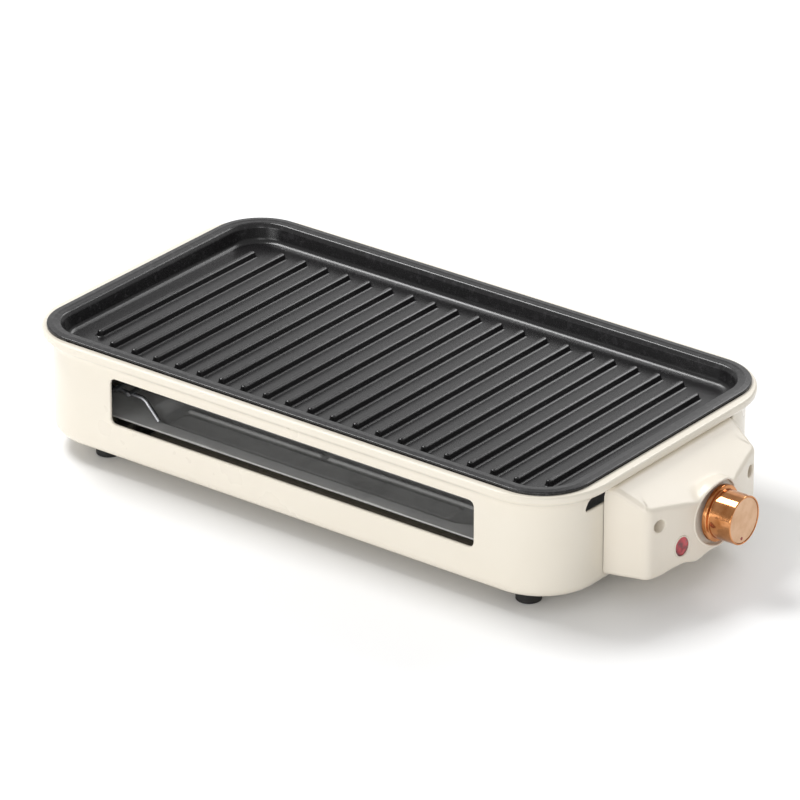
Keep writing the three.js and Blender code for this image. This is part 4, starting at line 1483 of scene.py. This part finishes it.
@dataclass
class Knob:
    """The plated knob: skirt, barrel, inset satin cap and a small index dot."""

    centre_z: float = 47.8
    back: float = 252.4
    skirt: float = 255.4
    face: float = 272.0
    skirt_r: float = 18.5
    barrel_r: float = 16.0
    cap_r: float = 14.9
    dot: tuple[float, float, float] = (1.1, -2.2, 11.7)

    def _about_axis(self, points: np.ndarray) -> np.ndarray:
        """Points turned about the x axis, moved up to the knob's axis."""
        return points + (0, 0, self.centre_z)

    def build(self, datum: float, finishes: Finishes) -> None:
        """Makes the body, the cap and the dot.

        Args:
            datum: Where the body's middle lies along x in the frame, in millimetres.
            finishes: The materials.
        """
        back, face = self.back, self.face
        section = [(back + 3.2, 0), (back + 3.2, 3.3), (back + 3.2, 9), (back, 9), (back, self.skirt_r),
                   (self.skirt, self.skirt_r), (self.skirt + 0.5, self.barrel_r), (face, self.barrel_r),
                   (face, self.cap_r), (face - 1.5, self.cap_r), (face - 1.5, 0)]
        line = rounded_line(section, [0, 0, 0.3, 0.3, 0.5, 0.7, 0.6, 0.7, 0.25, 0, 0], 6, 0.3)
        body = Skin("knob_shell").add(self._about_axis(turned(line, 160)), True)
        dressed(body.build(datum), Body.KNOB, Slot.COPPER, finishes, "knob_body")
        rim = self.cap_r - 0.1
        cap = rounded_line([(face - 1.3, 0), (face - 1.3, rim), (face - 0.35, rim), (face - 0.3, 0)],
                           [0, 0, 0.25, 0], 5, 0.2)
        disc = Skin("knob_face").add(self._about_axis(turned(cap, 160)), True)
        dressed(disc.build(datum), Body.KNOB, Slot.COPPER_SATIN, finishes, "knob_cap")
        radius, side, down = self.dot
        bead = rounded_line([(face - 0.6, 0), (face - 0.6, radius), (face - 0.22, radius), (face - 0.18, 0)],
                            [0, 0, 0.12, 0], 4, 0.05)
        dot = Skin("knob_mark").add(self._about_axis(turned(bead, 32)) + (0, side, -down), True)
        dressed(dot.build(datum), Body.KNOB, Slot.RED_ENAMEL, finishes, "knob_index")


@dataclass
class Feet:
    """Four round rubber feet with a recess for the screw in each."""

    places: tuple[tuple[str, float, float], ...] = (
        ("front_left", -165, -91), ("front_right", 174, -91),
        ("back_left", -165, 91), ("back_right", 174, 91))
    top_r: float = 9.0
    bottom_r: float = 8.3
    height: float = 11.7

    def build(self, datum: float, finishes: Finishes) -> None:
        """Makes each foot: the section carried round a vertical axis.

        Args:
            datum: Where the body's middle lies along x in the frame, in millimetres.
            finishes: The materials.
        """
        high, wide = self.height, self.top_r
        section = [(high, 0), (high, wide), (high - 2.2, wide), (high - 2.6, wide - 0.45),
                   (high - 3.4, wide - 0.4), (0, self.bottom_r), (0, 4.4), (4.3, 4.2), (4.3, 0)]
        line = rounded_line(section, [0, 0.5, 0.5, 0.3, 0.3, 1.0, 0.5, 0.3, 0], 5, 0.2)
        lathe = turned(line, 64)
        upright = np.stack([lathe[..., 1], lathe[..., 2], lathe[..., 0]], -1)
        for name, x, y in self.places:
            foot = Skin(f"pad_{name}").add(upright + (x, y, 0), True)
            dressed(foot.build(datum), Body.BASE, Slot.RUBBER, finishes, f"foot_{name}")


# ------------------------------------------------------------------ studio


@dataclass
class Studio:
    """Pale floor, soft lights and the camera."""

    camera_place: tuple[float, float, float] = (2.24673, -2.94730, 1.82318)
    camera_turn: tuple[float, float, float] = (64.544, 0.0, 37.603)
    lens: float = 289.35
    sky: float = 0.5

    def floor(self) -> None:
        """A wide pale floor just under the feet."""
        mesh = bpy.data.meshes.new("studio_floor")
        reach = 14.0
        corners = [(-reach, -reach, 0), (reach, -reach, 0), (reach, reach, 0), (-reach, reach, 0)]
        mesh.from_pydata(corners, [], [(0, 1, 2, 3)])
        floor = bpy.data.objects.new("studio_floor", mesh)
        bpy.context.scene.collection.objects.link(floor)
        shader = Shader("studio_floor")
        tone = shader.noise(shader.place(), 0.8, 1)
        colour = shader.blend(tone, (0.93, 0.93, 0.93), (0.95, 0.95, 0.95))
        mesh.materials.append(shader.dress(Base_Color=colour, Roughness=0.5, Specular_IOR_Level=0.2))

    def lamp(self, name: str, place: Sequence[float], aim: Sequence[float],
             size: tuple[float, float], power: float) -> None:
        """A soft rectangular light.

        Args:
            name: Its name.
            place: Where it stands, in metres.
            aim: The point it faces.
            size: Its width and height, in metres.
            power: Its power in watts.
        """
        data = bpy.data.lights.new(name, "AREA")
        data.shape = "RECTANGLE"
        data.size, data.size_y = size
        data.energy = power
        lamp = bpy.data.objects.new(name, data)
        direction = np.asarray(aim, float) - np.asarray(place, float)
        flat = math.hypot(direction[0], direction[1])
        lamp.location = place
        lamp.rotation_euler = (math.atan2(flat, -direction[2]), 0,
                               math.atan2(direction[1], direction[0]) - math.pi / 2)
        bpy.context.scene.collection.objects.link(lamp)

    def build(self) -> None:
        """Sets up the floor, the sky, the lights and the camera."""
        scene = bpy.context.scene
        self.floor()
        world = bpy.data.worlds.new("studio")
        world.use_nodes = True
        world.node_tree.nodes["Background"].inputs[0].default_value = (1.0, 1.0, 1.0, 1.0)
        world.node_tree.nodes["Background"].inputs[1].default_value = self.sky
        scene.world = world
        self.lamp("key", (-1.25, -0.05, 1.95), (0, 0, 0.05), (1.0, 0.8), 34)
        self.lamp("rear", (0.1, 1.7, 1.4), (0, 0, 0.08), (1.6, 0.5), 13)
        self.lamp("rear_left", (-1.32, 1.72, 1.03), (0, 0, 0.08), (1.8, 1.1), 2.6)
        self.lamp("fill_low", (-0.3, -2.2, 0.34), (0, 0, 0.05), (1.2, 0.5), 12)
        self.lamp("fill_right", (1.3, -2.1, 1.0), (0, 0, 0.05), (0.8, 0.8), 8)
        camera = bpy.data.cameras.new("camera")
        camera.lens, camera.sensor_width = self.lens, 36.0
        camera.clip_end = 60.0
        holder = bpy.data.objects.new("camera", camera)
        holder.location = self.camera_place
        holder.rotation_euler = [math.radians(turn) for turn in self.camera_turn]
        scene.collection.objects.link(holder)
        scene.camera = holder
        scene.view_settings.view_transform = "Standard"


@dataclass
class Griddle:
    """The whole griddle, built sub-assembly by sub-assembly."""

    frame: dict
    knob_centre: tuple[float, float, float] = (0.2355, 0.0, 0.0478)
    crest_drop: float = 0.0093
    parts: list = field(default_factory=lambda: [OuterShell(), GriddlePan(), Reflector(), Wirework(),
                                                 ControlHousing(), Knob(), Feet()])

    def build(self) -> None:
        """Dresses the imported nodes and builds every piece."""
        low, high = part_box("outer_shell")
        datum = (low.x + high.x) / 2 / MM
        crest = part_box("griddle_pan")[1].z - self.crest_drop
        finishes = Finishes(self.knob_centre, crest)
        finishes.dress_nodes(self.frame["nodes"], self.frame["record"])
        for part in self.parts:
            LOG.info("building %s", type(part).__name__)
            part.build(datum, finishes)


def main() -> None:
    """Builds the griddle and its studio."""
    logging.basicConfig(level=logging.INFO, format="%(name)s: %(message)s")
    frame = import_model()
    Studio().build()
    Griddle(frame).build()


if __name__ == "__main__":
    main()
